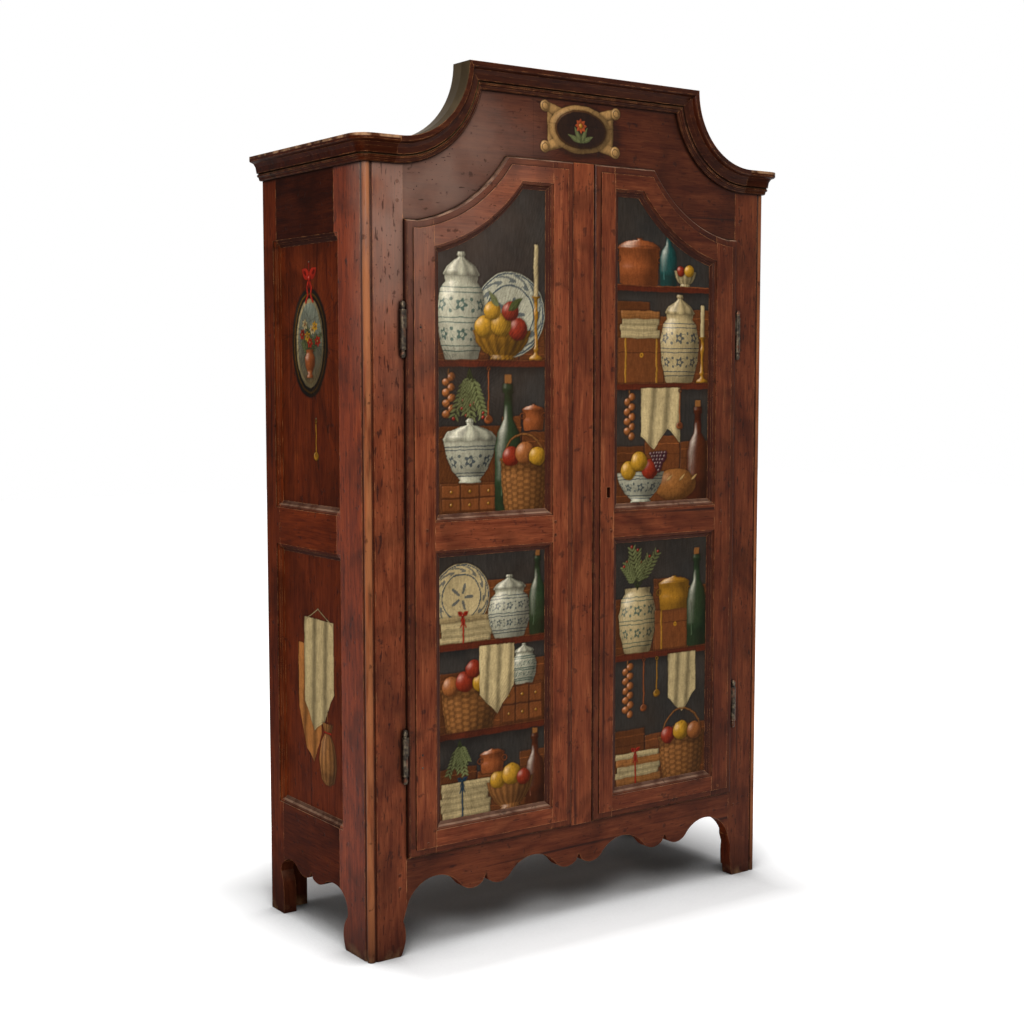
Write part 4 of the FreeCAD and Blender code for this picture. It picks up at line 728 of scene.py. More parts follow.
def casket(c, left, low, width, height, colour):
    """A small leather chest with brass straps and a round plate."""
    x, y, inside = c.slab(left, low, width, height, colour, 4)
    lid = np.abs(y - height * 0.68)
    c.fill(least(0.9 - lid, inside), linear(30, 16, 10), 0.8, 1.0)
    for share in (0.16, 0.84):
        off = x - width * share
        c.fill(least(3 - np.abs(off), inside - 0.5), c.lit(off / 4, y * 0, GOLD, gloss=0.3))
    reach = np.hypot(x - width / 2, y - height * 0.62)
    c.fill(least(6 - reach, inside), GOLD * 0.9)
    c.fill(1.8 - reach, linear(20, 12, 8))


def linens(c, left, low, width, colours, tie=None, seed=0):
    """A stack of folded linen, with or without a ribbon round it."""
    height = low
    for number, colour in enumerate(colours):
        thick = 15 + 3 * ((number * 7 + seed) % 3)
        shift = 3 * (((number + seed) * 5) % 3) - 3
        x, y, inside = c.slab(left + shift, height, width - 2 * abs(shift), thick, colour, 7)
        for share in (0.3, 0.6):
            fold = np.abs(y - thick * share - 1.2 * np.sin(x / 17 + number))
            c.fill(least(0.7 - fold, inside - 3), colour * 0.35, 0.55, 1.2)
        height += thick - 1
    if tie is not None:
        middle = left + width * 0.42
        c.line((middle, low), (middle, height), 5, tie)
        bow(c, middle, height + 2, 13, tie)


def bow(c, x, y, size, colour, tails=1.0):
    for side in (-1, 1):
        turn = 90 - side * 58
        c.leaf((x, y), size * 1.5, size * 0.9, turn, colour, False)
        hollow = (x + side * size * 0.72, y + size * 0.45)
        c.spot(hollow, (size * 0.3, size * 0.16), colour * 0.25, turn)
        tail = ((0, 0), (0.4, 0.9), (0.25, 1.6), (0.6, 2.2))
        c.path([(x + side * size * out, y - size * down * tails) for out, down in tail], size * 0.26, colour)
    c.ball((x, y), (size * 0.24, size * 0.24), colour)


def fruit(c, x, low, kinds):
    """Fruit heaped by place: sideways and upward offsets, a radius and a colour."""
    for dx, dy, radius, colour in kinds:
        c.ball((x + dx, low + dy), (radius, radius * 0.94), colour, 0.3, 0, 0.12)
        stalk = np.hypot(c.u - x - dx - radius * 0.1, c.v - low - dy - radius * 0.75)
        c.fill(1.6 - stalk, colour * 0.25)


def grapes(c, x, top, rows, colour):
    for row in range(rows):
        for number in range(rows - row):
            place = x + (number - (rows - row - 1) / 2) * 10.5 + 2 * math.sin(row * 3 + number)
            c.ball((place, top - row * 9), (6, 6), colour, 0.45)


def plate(c, x, y, radius, colour, ink):
    """A plate on edge, with a painted rim and a spray of five leaves in the well."""
    distance, p, q = c.oval((x, y), (radius, radius))
    c.shadow(distance, 8)
    reach = np.hypot(p, q)
    dish = np.where(reach > 0.68, 0.25, -0.35) * (reach - 0.68 * (reach > 0.68))
    tint = c.lit(p * dish * 2, q * dish * 2, colour, 0.35, 0.15)
    angle = np.arctan2(q, p)
    rim = (reach > 0.74) & (reach < 0.93)
    spray = rim * (np.sin(angle * 12 + 3 * np.sin(reach * 18)) > 0.25)
    rings = (np.abs(reach - 0.68) < 0.02) | (np.abs(reach - 0.96) < 0.02)
    heart = (reach < 0.42) * (np.cos(angle * 5) * 0.42 > reach - 0.02) * (reach > 0.1)
    ink_mask = np.clip(spray * 0.75 + rings * 0.9 + heart * 0.8, 0, 1)[:, None]
    tint = tint * (1 - ink_mask) + np.asarray(ink) * 0.9 * ink_mask
    c.fill(distance, tint)


def basket(c, x, low, width, height, handle=True):
    w = width / 2
    if handle:
        c.arc((x, low + height * 0.9), w * 0.86, 0, 180, 5, TAN * 0.8, squash=1.15)
    rim = [(height - 8, w * 0.96), (height - 7, w), (height, w)]
    c.turned((x, low), [(0, w * 0.78), (4, w * 0.8), (height * 0.5, w * 0.92)] + rim, TAN, 0.05, woven(7.5))


def pot(c, x, low, width, height, colour):
    w = width / 2
    side = scaled([(0.75, 1), (0.78, 1.05), (0.84, 1)], height, w)
    c.turned((x, low), [(0, w * 0.86), (4, w * 0.94)] + side, colour, 0.6)
    lid = scaled([(0, 0.98), (0.08, 0.7), (0.12, 0.1), (0.16, 0.14)], height, w)
    c.turned((x, low + height * 0.84), lid, colour, 0.6)
    for sign in (-1, 1):
        c.arc((x + sign * w * 1.02, low + height * 0.55), 7, 0, 360, 2.6, colour * 0.8)


def loaf(c, x, low, width, height):
    c.ball((x, low + height / 2), (width / 2, height / 2), BREAD, 0.1, 0, 0.15)
    for share in (-0.45, -0.15, 0.15, 0.45):
        c.leaf((x + share * width - 8, low + height * 0.62), 26, 7, 38, linear(206, 172, 118), False)


def sprig(c, x, y, stems, reach, colour, berry=None, spread=46, turn=-90):
    """Stalks with paired leaves from one point, and berries at their ends."""
    for number in range(stems):
        a = turn + spread * ((number + 0.5) / stems - 0.5) * 2
        bend = 5 * math.sin(number * 2.1)
        length = reach * (0.8 + 0.2 * math.cos(number * 1.7))
        tip = (x + length * math.cos(math.radians(a)) + bend, y + length * math.sin(math.radians(a)))
        c.line((x, y), tip, 2.2, GREEN * 0.6, 1.2)
        for step in range(3, 10):
            share = step / 10
            at = (x + (tip[0] - x) * share, y + (tip[1] - y) * share)
            tint = colour * (0.8 + 0.06 * ((step * 5 + number) % 5))
            for side in (-1, 1):
                c.leaf(at, reach * 0.17, reach * 0.06, a + side * 42, tint)
        if berry is not None:
            c.ball(tip, (4.2, 4.2), berry, 0.4)


def ladle(c, x, top, length, colour):
    c.line((x, top), (x, top - length), 3.4, colour, 4.5)
    c.arc((x, top + 4), 4, 0, 360, 1.8, colour)
    c.ball((x, top - length - 9), (12, 10), colour, 0.5)
    c.spot((x, top - length - 6), (9, 5.5), colour * 0.35)


def nail(c, x, y):
    c.ball((x, y), (2.6, 2.6), linear(150, 146, 136), 0.7)


def onions(c, x, top, count):
    c.line((x, top), (x, top - count * 13), 4, TAN * 0.7)
    for number in range(count):
        side = -1 if number % 2 else 1
        c.ball((x + side * 8, top - 16 - number * 13), (11, 10), ONION, 0.35, side * 18)


# ------------------------------------------------ the four door panels and the painted places of the carcass
# Places are millimetres from the lower left corner of the visible panel, or from the cartouche's middle.
DRAWER_COLUMNS, DRAWER_ROWS = 3, 2


def ground(c):
    """Black ground, lighter in patches and in upright strokes."""
    stroke = cloud(c.u, c.v * 0.12, 3.0, 31)
    depth = 0.7 + 0.5 * cloud(c.u, c.v, 60.0, 32) + 0.35 * stroke
    c.lay(np.ones_like(c.u), BLACK * depth[:, None], False)


def drawers(c, left, low, width, height):
    """A small chest of drawers with brass knobs."""
    c.slab(left, low, width, height, LEATHER * 0.7, 5)
    wide, tall = (width - 8) / DRAWER_COLUMNS, (height - 8) / DRAWER_ROWS
    for column in range(DRAWER_COLUMNS):
        for row in range(DRAWER_ROWS):
            x, y = left + 6 + column * wide, low + 6 + row * tall
            c.slab(x, y, wide - 4, tall - 4, LEATHER * (0.9 + 0.12 * ((column + row * 2) % 3)))
            c.ball((x + wide / 2 - 2, y + tall / 2 - 2), (3.6, 3.6), GOLD, 0.5)


def crates(c, low, widths, heights):
    """A row of old boxes in the shade at the back of a shelf."""
    left = 0
    for number, (width, height) in enumerate(zip(widths, heights)):
        shaded = LEATHER * (0.55 + 0.14 * ((number * 2) % 3))
        x, y, inside = c.slab(left, low, width, height, shaded, 4)
        for share in (0.12, 0.3, 0.72, 0.88):
            joint = least(0.9 - np.abs(y - height * share), inside)
            c.fill(joint, shaded * (0.3 if 0.2 < share < 0.8 else 1.9), 0.8, 1.2)
        left += width + 2


def left_upper(c):
    ground(c)
    c.shelf(360, 18, SHELF_RED)
    crates(c, 378, (150, 88, 80), (120, 170, 110))
    crates(c, 0, (186, 60, 74), (214, 236, 196))
    plate(c, 214, 490, 106, CHALK, BLUE)
    crock(c, 68, 378, 262, 142, CHALK, TEAL)
    candlestick(c, 294, 378, 170, 128)
    bowl(c, 190, 378, 178, 72, GOLD * 0.85, ribbed(16))
    heap = [(-54, 4, 29, LEMON), (48, 0, 30, APPLE), (-4, 10, 31, LEMON), (24, 44, 26, APPLE)]
    fruit(c, 190, 454, heap + [(-30, 44, 25, LEMON)])
    c.leaf((208, 500), 56, 20, 35, GREEN)
    c.leaf((178, 508), 48, 18, 125, SAGE)
    onions(c, 30, 352, 8)
    sprig(c, 92, 356, 9, 132, SAGE * 1.1, RED, 24, -90)
    ladle(c, 148, 350, 112, COPPER)
    drawers(c, 4, 0, 176, 74)
    bowl(c, 92, 74, 156, 104, CHALK, banded(BLUE, [16, 24, 82, 90]))
    lid = [(0, 78), (5, 80), (22, 66), (36, 26), (40, 9), (50, 13), (56, 5)]
    c.turned((92, 178), lid, CHALK, 0.45, ribbed(9))
    bottle(c, 208, 0, 318, 82, GLASS)
    basket(c, 256, 0, 148, 132)
    fruit(c, 256, 136, [(-40, 0, 27, APPLE), (4, 8, 30, ONION), (42, -2, 25, LEMON)])
    pot(c, 286, 200, 66, 66, COPPER)


def right_upper(c):
    ground(c)
    c.shelf(560, 16, SHELF_RED * 0.9)
    c.shelf(300, 18, SHELF_RED)
    crates(c, 318, (112, 96, 112), (214, 176, 196))
    crates(c, 0, (96, 124, 98), (150, 176, 158))
    pot(c, 74, 576, 138, 122, COPPER)
    bottle(c, 176, 576, 150, 58, TEAL * 0.9)
    bowl(c, 236, 576, 78, 40, CREAM, ribbed(12))
    fruit(c, 236, 616, [(-16, 0, 15, APPLE), (14, 2, 17, LEMON)])
    casket(c, 4, 318, 158, 118, LEATHER * 0.9)
    linens(c, 14, 436, 134, [CREAM, CREAM * 1.1, CREAM * 0.85, TAN], None, 2)
    crock(c, 218, 318, 236, 138, CREAM, BLUE)
    candlestick(c, 300, 318, 134, 84)
    bottle(c, 286, 0, 252, 76, BROWN_GLASS)
    loaf(c, 206, 0, 150, 86)
    bowl(c, 84, 0, 162, 80, CHALK, banded(BLUE, [10, 18, 62, 70]))
    fruit(c, 84, 86, [(-42, 0, 27, LEMON), (32, 2, 29, APPLE), (-6, 22, 28, LEMON)])
    grapes(c, 146, 128, 6, PLUM * 1.4)
    c.cloth(84, 222, 304, [176, 140, 196, 158], CREAM * 1.1, 2.8, 0.6)
    onions(c, 44, 296, 9)
    ladle(c, 220, 292, 82, COPPER)


def left_lower(c):
    ground(c)
    c.shelf(424, 18, SHELF_RED)
    c.shelf(200, 18, SHELF_RED * 0.9)
    crates(c, 442, (96, 108, 116), (122, 150, 132))
    crates(c, 218, (84, 120, 116), (150, 132, 164))
    crates(c, 0, (110, 130, 80), (126, 108, 142))
    plate(c, 66, 556, 84, CREAM, BLUE)
    linens(c, 4, 442, 158, [CREAM * 1.1, CREAM * 0.9, CREAM, linear(170, 152, 116)], RED, 0)
    crock(c, 212, 442, 160, 132, CHALK, BLUE)
    bottle(c, 300, 442, 204, 52, GLASS)
    basket(c, 90, 218, 174, 112, False)
    heap = [(-56, 2, 26, ONION), (-14, 10, 28, APPLE), (36, 4, 27, LEMON), (64, -4, 18, ONION)]
    fruit(c, 90, 332, heap + [(12, 40, 24, APPLE)])
    drawers(c, 184, 218, 136, 100)
    crock(c, 258, 318, 104, 80, CHALK, TEAL)
    c.cloth(120, 226, 427, [302, 252, 318], CREAM * 1.1, 3.0, 1.4)
    bottle(c, 292, 0, 184, 60, BROWN_GLASS)
    linens(c, 4, 0, 150, [CREAM * 1.1, CREAM * 0.9, CREAM * 1.1, CREAM, CREAM * 1.1], BLUE, 1)
    sprig(c, 60, 196, 7, 96, SAGE * 1.1, None, 26, -90)
    bowl(c, 214, 0, 146, 76, TAN, ribbed(20))
    fruit(c, 214, 78, [(-38, 2, 25, LEMON), (4, 10, 29, LEMON), (42, -2, 22, APPLE)])
    pot(c, 158, 100, 72, 62, COPPER)


def right_lower(c):
    ground(c)
    c.shelf(340, 18, SHELF_RED)
    crates(c, 358, (130, 100, 90), (150, 196, 168))
    crates(c, 0, (104, 96, 120), (150, 128, 142))
    crock(c, 76, 358, 176, 128, CREAM, TEAL, False)
    sprig(c, 76, 530, 7, 122, SAGE * 1.2, RED, 42, 90)
    casket(c, 138, 358, 144, 108, LEATHER)
    pot(c, 206, 466, 108, 92, GOLD)
    bottle(c, 288, 358, 254, 70, GLASS)
    onions(c, 44, 338, 11)
    ladle(c, 100, 332, 118, COPPER)
    ladle(c, 146, 332, 84, GOLD)
    c.cloth(186, 286, 343, [222, 178, 236], CREAM * 0.95, 2.6, 0.2)
    linens(c, 6, 0, 158, [TAN, CREAM, CREAM * 0.88, TAN * 1.15, CREAM], RED, 2)
    basket(c, 238, 0, 168, 116)
    fruit(c, 238, 118, [(-50, 0, 25, APPLE), (-4, 8, 28, LEMON), (46, 2, 26, ONION)])


def side_upper(c):
    """A vase of flowers in a black oval frame, hung by a red ribbon, and a small ladle beneath."""
    nail(c, 150, 604)
    c.line((150, 602), (150, 540), 4, RED)
    middle = (150, 404)
    frame_rings = (((92, 136), linear(34, 30, 26)), ((82, 125), GOLD * 0.5), ((78, 120), linear(30, 28, 24)),
                   ((70, 111), CREAM * 0.9))
    for radii, colour in frame_rings:
        c.ball(middle, radii, colour, 0.06)
    c.spot(middle, (62, 101), mist(c))
    sprig(c, 150, 366, 7, 86, SAGE * 0.9, None, 50, 90)
    for number in range(7):
        at = (112 + number * 13, 426 + 24 * math.sin(number * 1.7))
        for petal in range(6):
            c.leaf(at, 15, 9, petal * 60 + number * 17, (RED, CREAM, LEMON)[number % 3], False)
        c.ball(at, (4, 4), TAN)
    vase = [(0, 16), (5, 16), (9, 9), (30, 24), (50, 26), (62, 16), (70, 19)]
    c.turned((150, 318), vase, COPPER * 0.9)
    bow(c, 150, 566, 30, RED * 1.2, 0.9)
    nail(c, 178, 216)
    ladle(c, 178, 206, 76, GOLD * 1.2)


def mist(c):
    """Paint for the inside of the oval frame: grey-blue above, brown below."""
    height = np.clip((c.v - 300) / 190, 0, 1)[:, None]
    drift = (0.8 + 0.4 * cloud(c.u, c.v, 26.0, 41))[:, None]
    return (linear(88, 74, 52) * (1 - height) + linear(134, 146, 140) * height) * drift


def side_lower(c):
    """Two folded cloths, one over the other, and a drawn bag, hung from nails."""
    nail(c, 178, 516)
    c.cloth(72, 190, 420, [250, 150, 120, 196], linear(196, 132, 76), 2.2, 1.2, 0.08)
    c.cloth(104, 256, 490, [270, 204, 232, 310], CREAM * 1.1, 2.6, 0.4, 0.05)
    c.line((178, 516), (112, 484), 2.4, CREAM)
    c.line((178, 516), (248, 484), 2.4, CREAM)
    nail(c, 222, 262)
    c.line((222, 262), (222, 236), 2.4, TAN)
    bag = [(0, 12), (12, 34), (60, 46), (108, 34), (132, 14), (140, 20), (158, 27)]
    c.turned((222, 72), bag, linear(172, 120, 72), 0.05, ribbed(11))
    c.line((206, 206), (238, 206), 5, RED)


def cartouche(c):
    """Pale straps with rolled ends round a dark oval, which holds a flower."""
    pale = linear(190, 152, 102)
    c.shadow(c.oval((10, -6), (112, 62))[0], 12, 0.6)
    for side in (-1, 1):
        c.line((side * 96, -40), (side * 96, 40), 20, pale * 0.8)
        for up in (-1, 1):
            c.line((side * 62, up * 34), (side * 108, up * 50), 30, pale, 22)
            c.ball((side * 114, up * 50), (15, 15), pale * 1.1, 0.15)
            c.arc((side * 114, up * 50), 9, 0, 300, 2, pale * 0.35, 0)
    c.ball((0, 0), (100, 60), pale, 0.1)
    c.ball((0, 0), (83, 49), linear(88, 58, 32), 0.1)
    c.spot((0, 0), (77, 44), linear(34, 20, 15))
    for turn in (24, 62, 118, 156):
        c.leaf((0, -32), 44, 13, turn, SAGE * 0.8)
    c.line((0, -34), (0, 4), 2.4, SAGE * 0.7)
    for number in range(8):
        c.leaf((0, 10), 19, 10, number * 45, linear(178, 84, 48), False)
    c.ball((0, 10), (5.5, 5.5), GOLD)


# ---------------------------------------------------------------- painted skins
PAINT_LIFT = 0.3 * MM
DOOR_SPACING = 2 * MM
SIDE_SPACING = 1.6 * MM
CARTOUCHE_SPACING = 1.25 * MM
CARTOUCHE_SIZE = (300 * MM, 150 * MM)
CARTOUCHE_MIDDLE = (-3 * MM, 2050 * MM)
RIGHTWARD, UP = (1, 0, 0), (0, 0, 1)


def add_piece(name, mesh, material, body):
    piece = bpy.data.objects.new(name, mesh)
    bpy.context.scene.collection.objects.link(piece)
    assign(piece, material)
    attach(piece, body)


def assign(piece, material):
    piece.data.materials.clear()
    piece.data.materials.append(material)


def skin(name, corner, right, size, spacing, motif, body, material, outline=None, centred=False):
    """A flat mesh just in front of a face, with a motif painted on its points. Sizes are in metres. The
    outline may lower the top of each column."""
    columns, rows = size
    across = int(round(columns / spacing)) + 1
    down = int(round(rows / spacing)) + 1
    u = np.linspace(0, columns, across)
    top = np.full(across, rows) if outline is None else outline(u)
    uu = np.repeat(u, down)
    vv = np.outer(top, np.linspace(0, 1, down)).ravel()
    points = np.array(corner) + uu[:, None] * np.array(right) + vv[:, None] * np.array(UP)
    index = np.arange(across * down).reshape(across, down)
    faces = np.stack([index[:-1, :-1], index[1:, :-1], index[1:, 1:], index[:-1, 1:]], axis=-1)
    mesh = bpy.data.meshes.new(name)
    mesh.from_pydata(points.tolist(), [], faces.reshape(-1, 4).tolist())
    shift = (columns / 2, rows / 2) if centred else (0, 0)
    canvas = Canvas((uu - shift[0]) / MM, (vv - shift[1]) / MM)
    motif(canvas)
    layer = mesh.color_attributes.new(PAINT, "FLOAT_COLOR", "POINT")
    layer.data.foreach_set("color", np.column_stack([np.clip(canvas.colour, 0, 1), canvas.cover]).ravel())
    add_piece(name, mesh, material, body)


def visible(panel, across):
    """A panel's low and high corners, without the tongues that it has across and at its top and bottom."""
    low, high = (list(corner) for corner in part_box(panel))
    for axis in (across, 2):
        low[axis] += PANEL_TONGUE
        high[axis] -= PANEL_TONGUE
    return low, high


def arched(left, bottom, top):
    """The height of a door's upper panel over its lower edge, which follows the cornice's sweep."""
    def outline(u):
        reach = SWEEP_CENTRE - np.abs(left + u)
        drop = np.sqrt(PANEL_ARCH_RADIUS ** 2 - reach ** 2)
        return np.minimum(top, CREST_TOP - drop) - bottom
    return outline


def paint_doors():
    material = painted_panel("painted_panel")
    motifs = {"left": {"upper": left_upper, "lower": left_lower},
              "right": {"upper": right_upper, "lower": right_lower}}
    for side, levels in motifs.items():
        for level, motif in levels.items():
            (left, front, bottom), (right, _, top) = visible("%s_door_%s_panel" % (side, level), 0)
            skin("%s_door_%s_painting" % (side, level), (left, front - PAINT_LIFT, bottom), RIGHTWARD,
                 (right - left, top - bottom), DOOR_SPACING, motif, side + "_door", material,
                 arched(left, bottom, top) if level == "upper" else None)


def paint_sides():
    for side, sign in (("left", -1), ("right", 1)):
        for number, (level, motif) in enumerate((("upper", side_upper), ("lower", side_lower))):
            (left, near, bottom), (right, far, top) = visible("%s_%s_panel" % (side, level), 1)
            material = walnut("painted_side_%s_%s" % (side, level), "Z", SIDE_SEED + number + 5 * sign,
                              TONES_AND_SHADE["_panel"], painted=True)
            start = far if side == "left" else near
            outer = (left if side == "left" else right) + sign * PAINT_LIFT
            skin("%s_%s_painting" % (side, level), (outer, start, bottom), (0, sign, 0),
                 (far - near, top - bottom), SIDE_SPACING, motif, "carcass", material)


def paint_cartouche():
    (middle, height), (width, tall) = CARTOUCHE_MIDDLE, CARTOUCHE_SIZE
    corner = (middle - width / 2, POST_FRONT - PAINT_LIFT, height - tall / 2)
    wood = walnut("painted_frieze", "X", FRIEZE_SEED, FRIEZE_TONE, painted=True)
    skin("frieze_cartouche", corner, RIGHTWARD, CARTOUCHE_SIZE, CARTOUCHE_SPACING, cartouche, "carcass", wood,
         centred=True)


# ---------------------------------------------------------------- finishes of the CAD nodes
FRIEZE_SEED, SIDE_SEED, HINGE_SEED, PEG_SEED, PIN_SEED = 11, 31, 77, 91, 93
FRIEZE_TONE = 0.43
# The darker tones of the pieces named for the right are painted shade, for light that falls off across the
# front towards the right.
TONES_AND_SHADE = {
    "side_top_rail": 0.17, "side_middle_rail": 0.7, "side_bottom_rail": 0.36, "_panel": 0.62,
    "rear_post": 0.62, "front_apron": 0.66, "cover_strip": 0.98, "left_door_meeting": 1.16,
    "right_front_post": 0.75, "right_door_hinge_stile": 0.75, "right_door_arched": 0.62,
    "right_door_meeting": 0.95, "right_door": 0.8,
}
ACROSS = ("frieze_board", "front_apron", "arched_rail", "middle_rail", "bottom_rail", "crest")
FROM_FRONT_TO_BACK = ("side_top_rail", "side_middle_rail", "side_bottom_rail", "shelf_cleats")
INSIDE = ("shelf_cleats", "first_shelf", "second_shelf", "third_shelf", "floor_boards", "roof_boards",
          "back_boards", "back_top_rail", "back_bottom_rail")
IRON = ("hinge_halves", "lock_", "slide_bolt")


def grain_of(name):
    if any(word in name for word in FROM_FRONT_TO_BACK):
        return "Y"
    if any(word in name for word in ACROSS) or name in INSIDE and name != "back_boards":
        return "X"
    return "Z"


def face_of(name):
    """The face of the frame below which a piece's mouldings lie."""
    if "_door_" in name:
        return "Y", DOOR_FRONT
    if "_side_" in name and "cornice" not in name:
        return "X", HALF_WIDTH
    return None


def tone_of(name, number):
    """A piece's tone, by the first word that fits, painted shade included, a little lighter or darker than
    its neighbours.
    """
    tone = next((part for word, part in TONES_AND_SHADE.items() if word in name), 1.0)
    return tone * (0.92 + 0.16 * ((number * 7) % 5) / 4)


def dress_nodes():
    for number, (name, node) in enumerate(sorted(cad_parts.items())):
        seed = number + 1
        if any(word in name for word in IRON):
            material = wrought_iron(name + "_iron", seed)
        elif name in INSIDE:
            material = plain_boards(name + "_wood", grain_of(name), seed)
        elif "cornice" in name:
            material = moulded_walnut(name + "_wood", seed, looks_at_sweep if "swept" in name else looks_up)
        elif name == "frieze_board":
            material = walnut(name + "_wood", "X", FRIEZE_SEED, FRIEZE_TONE)
        else:
            material = walnut(name + "_wood", grain_of(name), seed, tone_of(name, number), face=face_of(name))
        assign(node, material)


# ---------------------------------------------------------------- ironwork and small wood
# Profiles give radius and height. Places give the distance from the middle and the height. Both are in mm.
COLLAR = [(7.0, 0.0), (7.5, 0.6), (7.5, 2.6), (7.0, 3.4)]
FINIAL = [(5.05, 0.0), (5.6, 2.5), (6.3, 5.5), (6.4, 8.5), (5.7, 11.0), (4.3, 13.5), (2.4, 15.4), (0.4, 16.2)]
FINIAL_SEAT = 14 * MM                # how far the finial starts inside the knuckle
COLLAR_HEIGHT = 3.4 * MM
KNUCKLE_RADIUS = 7 * MM
KNUCKLE_LENGTH = 48 * MM
HINGE_HALF = 66 * MM
PEG = [(4.6, -0.6), (4.4, 0.25), (3.4, 0.5), (0.4, 0.6)]
PIN = [(2.6, -0.5), (2.5, 0.5), (1.7, 1.2), (0.4, 1.5)]
SCREW = [(4.4, -0.4), (4.2, 0.7), (3.0, 1.7), (0.4, 2.1)]
SCREW_INSET = 10 * MM
KNUCKLE_SIDES, PIN_SIDES, PEG_SIDES = 24, 16, 14
PIN_PLACES = ((498, 1542), (498, 1510), (498, 500), (498, 468))
DOOR_PEG_PLACES = (("middle_rail", 92, 1018), ("middle_rail", 92, 1052), ("middle_rail", 482, 1018),
                   ("middle_rail", 482, 1052), ("arched_rail", 92, 1922), ("arched_rail", 484, 1766),
                   ("bottom_rail", 92, 275), ("bottom_rail", 482, 275))
POST_PEG_PLACES = ((556, 205), (556, 172), (552, 1840), (552, 1885))
FORWARD, BACKWARD = (0, -1, 0), (0, 1, 0)


def lathe(name, profile, at, body, material, axis, sides):
    """A turned piece on an axis."""
    turn = Vector(UP).rotation_difference(Vector(axis)).to_matrix()
    points, faces = [], []
    for radius, height in profile:
        for number in range(sides):
            a = 2 * math.pi * number / sides
            spot = turn @ Vector((radius * math.cos(a), radius * math.sin(a), height)) * MM
            points.append(spot + Vector(at))
    rows = len(profile)
    for low in range(0, (rows - 1) * sides, sides):
        for number in range(sides):
            after = (number + 1) % sides
            faces.append((low + number, low + after, low + sides + after, low + sides + number))
    faces.append(tuple(reversed(range(sides))))
    faces.append(tuple(range((rows - 1) * sides, rows * sides)))
    mesh = bpy.data.meshes.new(name)
    mesh.from_pydata([tuple(point) for point in points], [], faces)
    for polygon in mesh.polygons:
        polygon.use_smooth = True
    add_piece(name, mesh, material, body)


def dress_hinges():
    """Collars and acorn ends on the hinges, which the solids carry as plain cylinders."""
    iron = wrought_iron("hinge_ends_iron", HINGE_SEED)
    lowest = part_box("post_hinge_halves")[0][2]
    for side, sign in (("left", -1), ("right", 1)):
        low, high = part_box(side + "_door_hinge_halves")
        edge = sign * (max(abs(low[0]), abs(high[0])) - KNUCKLE_RADIUS)
        depth = low[1] + KNUCKLE_RADIUS
        for level, meeting in (("upper", high[2] - HINGE_HALF), ("lower", lowest + HINGE_HALF)):
            for way, body, end in ((1, side + "_door", "top"), (-1, "carcass", "bottom")):
                name = "%s_%s_hinge_%s" % (side, level, end)
                for part, profile, height in (("_acorn", FINIAL, HINGE_HALF - FINIAL_SEAT),
                                              ("_collar", COLLAR, KNUCKLE_LENGTH - COLLAR_HEIGHT)):
                    lathe(name + part, profile, (edge, depth, meeting + way * height), body,
                          iron, (0, 0, way), KNUCKLE_SIDES)


def small_hardware():
    peg_wood = walnut("peg_wood", "Y", PEG_SEED, tone=0.62, wear=0.2)
    iron = wrought_iron("pin_iron", PIN_SEED)
    for number, (x, z) in enumerate(PIN_PLACES):
        lathe("door_pin_%d" % number, PIN, (-x * MM, DOOR_FRONT, z * MM), "left_door", iron,
              FORWARD, PIN_SIDES)
    for side, sign in (("left", -1), ("right", 1)):
        for number, (rail, x, z) in enumerate(DOOR_PEG_PLACES):
            lathe("%s_%s_peg_%d" % (side, rail, number), PEG, (sign * x * MM, DOOR_FRONT, z * MM),
                  side + "_door", peg_wood, FORWARD, PEG_SIDES)
        for number, (x, z) in enumerate(POST_PEG_PLACES):
            lathe("%s_post_peg_%d" % (side, number), PEG, (sign * x * MM, POST_FRONT, z * MM), "carcass",
                  peg_wood, FORWARD, PEG_SIDES)
    low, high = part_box("lock_case")
    for row, z in enumerate((low[2] + SCREW_INSET, high[2] - SCREW_INSET)):
        for column, x in enumerate((low[0] + SCREW_INSET, high[0] - SCREW_INSET)):
            lathe("lock_screw_%d" % (row * 2 + column), SCREW, (x, high[1], z), "right_door",
                  iron, BACKWARD, PIN_SIDES)


# ---------------------------------------------------------------- studio
# The floor's painted shadow: it darkens where the object hems it in, and its camera glow fades to none over
# this area.
SHADOW_AREA = ((-0.58, 0.58), (-0.40, 0.42))
FLOOR_REACH = 14.0
FLOOR_SHADOW_FADE = 0.5
FLOOR_SHADOW_REACH = 0.3
FLOOR_LIFT = 1.0                     # glow for the camera far from the object and none near it, which leaves a painted shadow
FLOOR_SHADOW, FLOOR_PALE, WHITE = (0.05, 0.05, 0.05, 1), (0.82, 0.82, 0.82, 1), (1, 1, 1, 1)
WORLD_LIGHT = 0.12
LAMPS = [
    ("key", (-1.9, -2.2, 2.5), (-0.4, 0.0, 1.2), (1.2, 1.2), 66),
    ("fill", (3.4, -3.6, 1.8), (0.2, 0.0, 1.0), (2.4, 2.4), 12),
    ("top", (-0.4, -0.9, 5.2), (0.0, -0.3, 0.0), (3.6, 3.6), 260),
    ("side", (-4.2, 0.2, 2.0), (-0.4, 0.0, 1.2), (1.6, 2.4), 12),
]
CAMERA_PLACE = (-2.5593, -3.5200, 1.4386)
CAMERA_AZIMUTH = -35.519
CAMERA_PITCH = -5.046
CAMERA_LENS = 56.30
CAMERA_SENSOR = 36


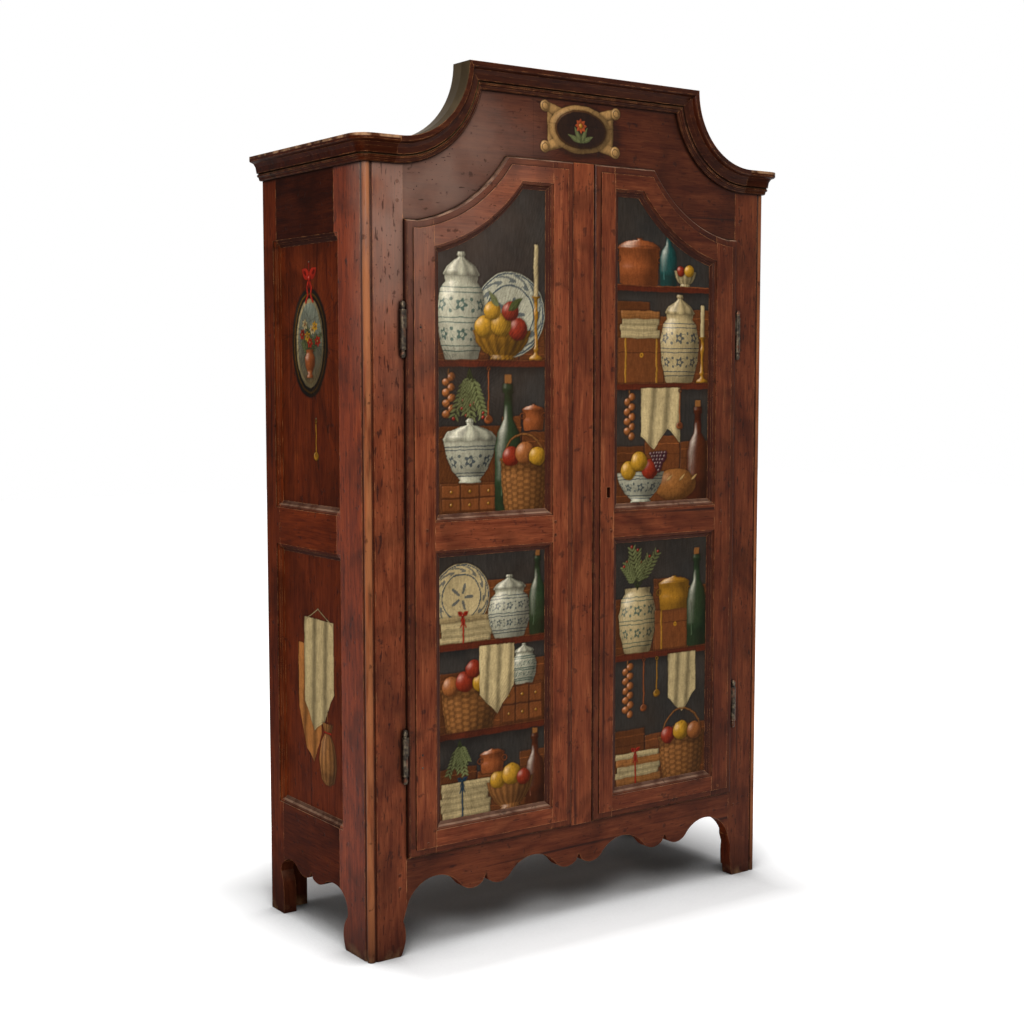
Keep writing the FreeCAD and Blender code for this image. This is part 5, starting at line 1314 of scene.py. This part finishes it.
def away_from(tree, rectangle):
    """Distance on the floor from a rectangle."""
    axes = tree.axes()
    sides = []
    for axis, (low, high) in zip("XY", rectangle):
        from_middle = tree.math("ABSOLUTE", tree.minus(axes[axis], (low + high) / 2))
        sides.append(tree.math("MAXIMUM", tree.minus(from_middle, (high - low) / 2)))
    return tree.math("SQRT", tree.plus(*[tree.times(side, side) for side in sides]))


def shown(tree):
    """1 for the rays that show something to the camera, straight or in gloss or glass, and 0 for others."""
    rays = tree.add("LightPath").outputs
    glassy = tree.math("MAXIMUM", rays["Is Glossy Ray"], rays["Is Transmission Ray"])
    return tree.math("MAXIMUM", rays["Is Camera Ray"], glassy)


def studio_floor():
    mesh = bpy.data.meshes.new("studio_floor")
    corners = [(x * FLOOR_REACH, y * FLOOR_REACH, 0) for x, y in ((-1, -1), (1, -1), (1, 1), (-1, 1))]
    mesh.from_pydata(corners, [], [(0, 1, 2, 3)])
    floor = bpy.data.objects.new("studio_floor", mesh)
    bpy.context.scene.collection.objects.link(floor)
    tree = new_tree("studio_floor")
    # Painted shadow: the floor is darker where the object hems it in.
    colour = tree.mix(tree.span(openness(tree, FLOOR_SHADOW_REACH), 0.25, 0.9), FLOOR_SHADOW, FLOOR_PALE)
    # The glow that whitens the floor for the camera fades to none near the object, which leaves a painted
    # shadow there.
    glow_beyond_shadow = tree.span(away_from(tree, SHADOW_AREA), 0.0, FLOOR_SHADOW_FADE, 0.0, FLOOR_LIFT)
    glow = tree.times(shown(tree), glow_beyond_shadow)
    assign(floor, tree.finish(colour, 0.9, Emission_Color=WHITE, Emission_Strength=glow))


def studio_world():
    world = bpy.data.worlds.new("studio")
    bpy.context.scene.world = world
    tree = Tree(world, "Background")
    tree.set(tree.shader, Color=WHITE, Strength=tree.span(shown(tree), 0.0, 1.0, WORLD_LIGHT, 1.0))


def studio_lamps():
    for name, place, target, size, power in LAMPS:
        lamp = bpy.data.lights.new(name, "AREA")
        lamp.shape = "RECTANGLE"
        lamp.size, lamp.size_y = size
        lamp.energy = power
        item = bpy.data.objects.new(name, lamp)
        item.location = place
        item.rotation_euler = (Vector(target) - Vector(place)).to_track_quat("-Z", "Y").to_euler()
        bpy.context.scene.collection.objects.link(item)


def camera():
    lens = bpy.data.cameras.new("photo_view")
    lens.lens = CAMERA_LENS
    lens.sensor_width = CAMERA_SENSOR
    item = bpy.data.objects.new("photo_view", lens)
    item.location = CAMERA_PLACE
    item.rotation_euler = (math.radians(90 + CAMERA_PITCH), 0, math.radians(CAMERA_AZIMUTH))
    bpy.context.scene.collection.objects.link(item)
    bpy.context.scene.camera = item


dress_nodes()
paint_doors()
paint_sides()
paint_cartouche()
dress_hinges()
small_hardware()
studio_floor()
studio_world()
studio_lamps()
camera()
bpy.context.scene.view_settings.view_transform = "Standard"
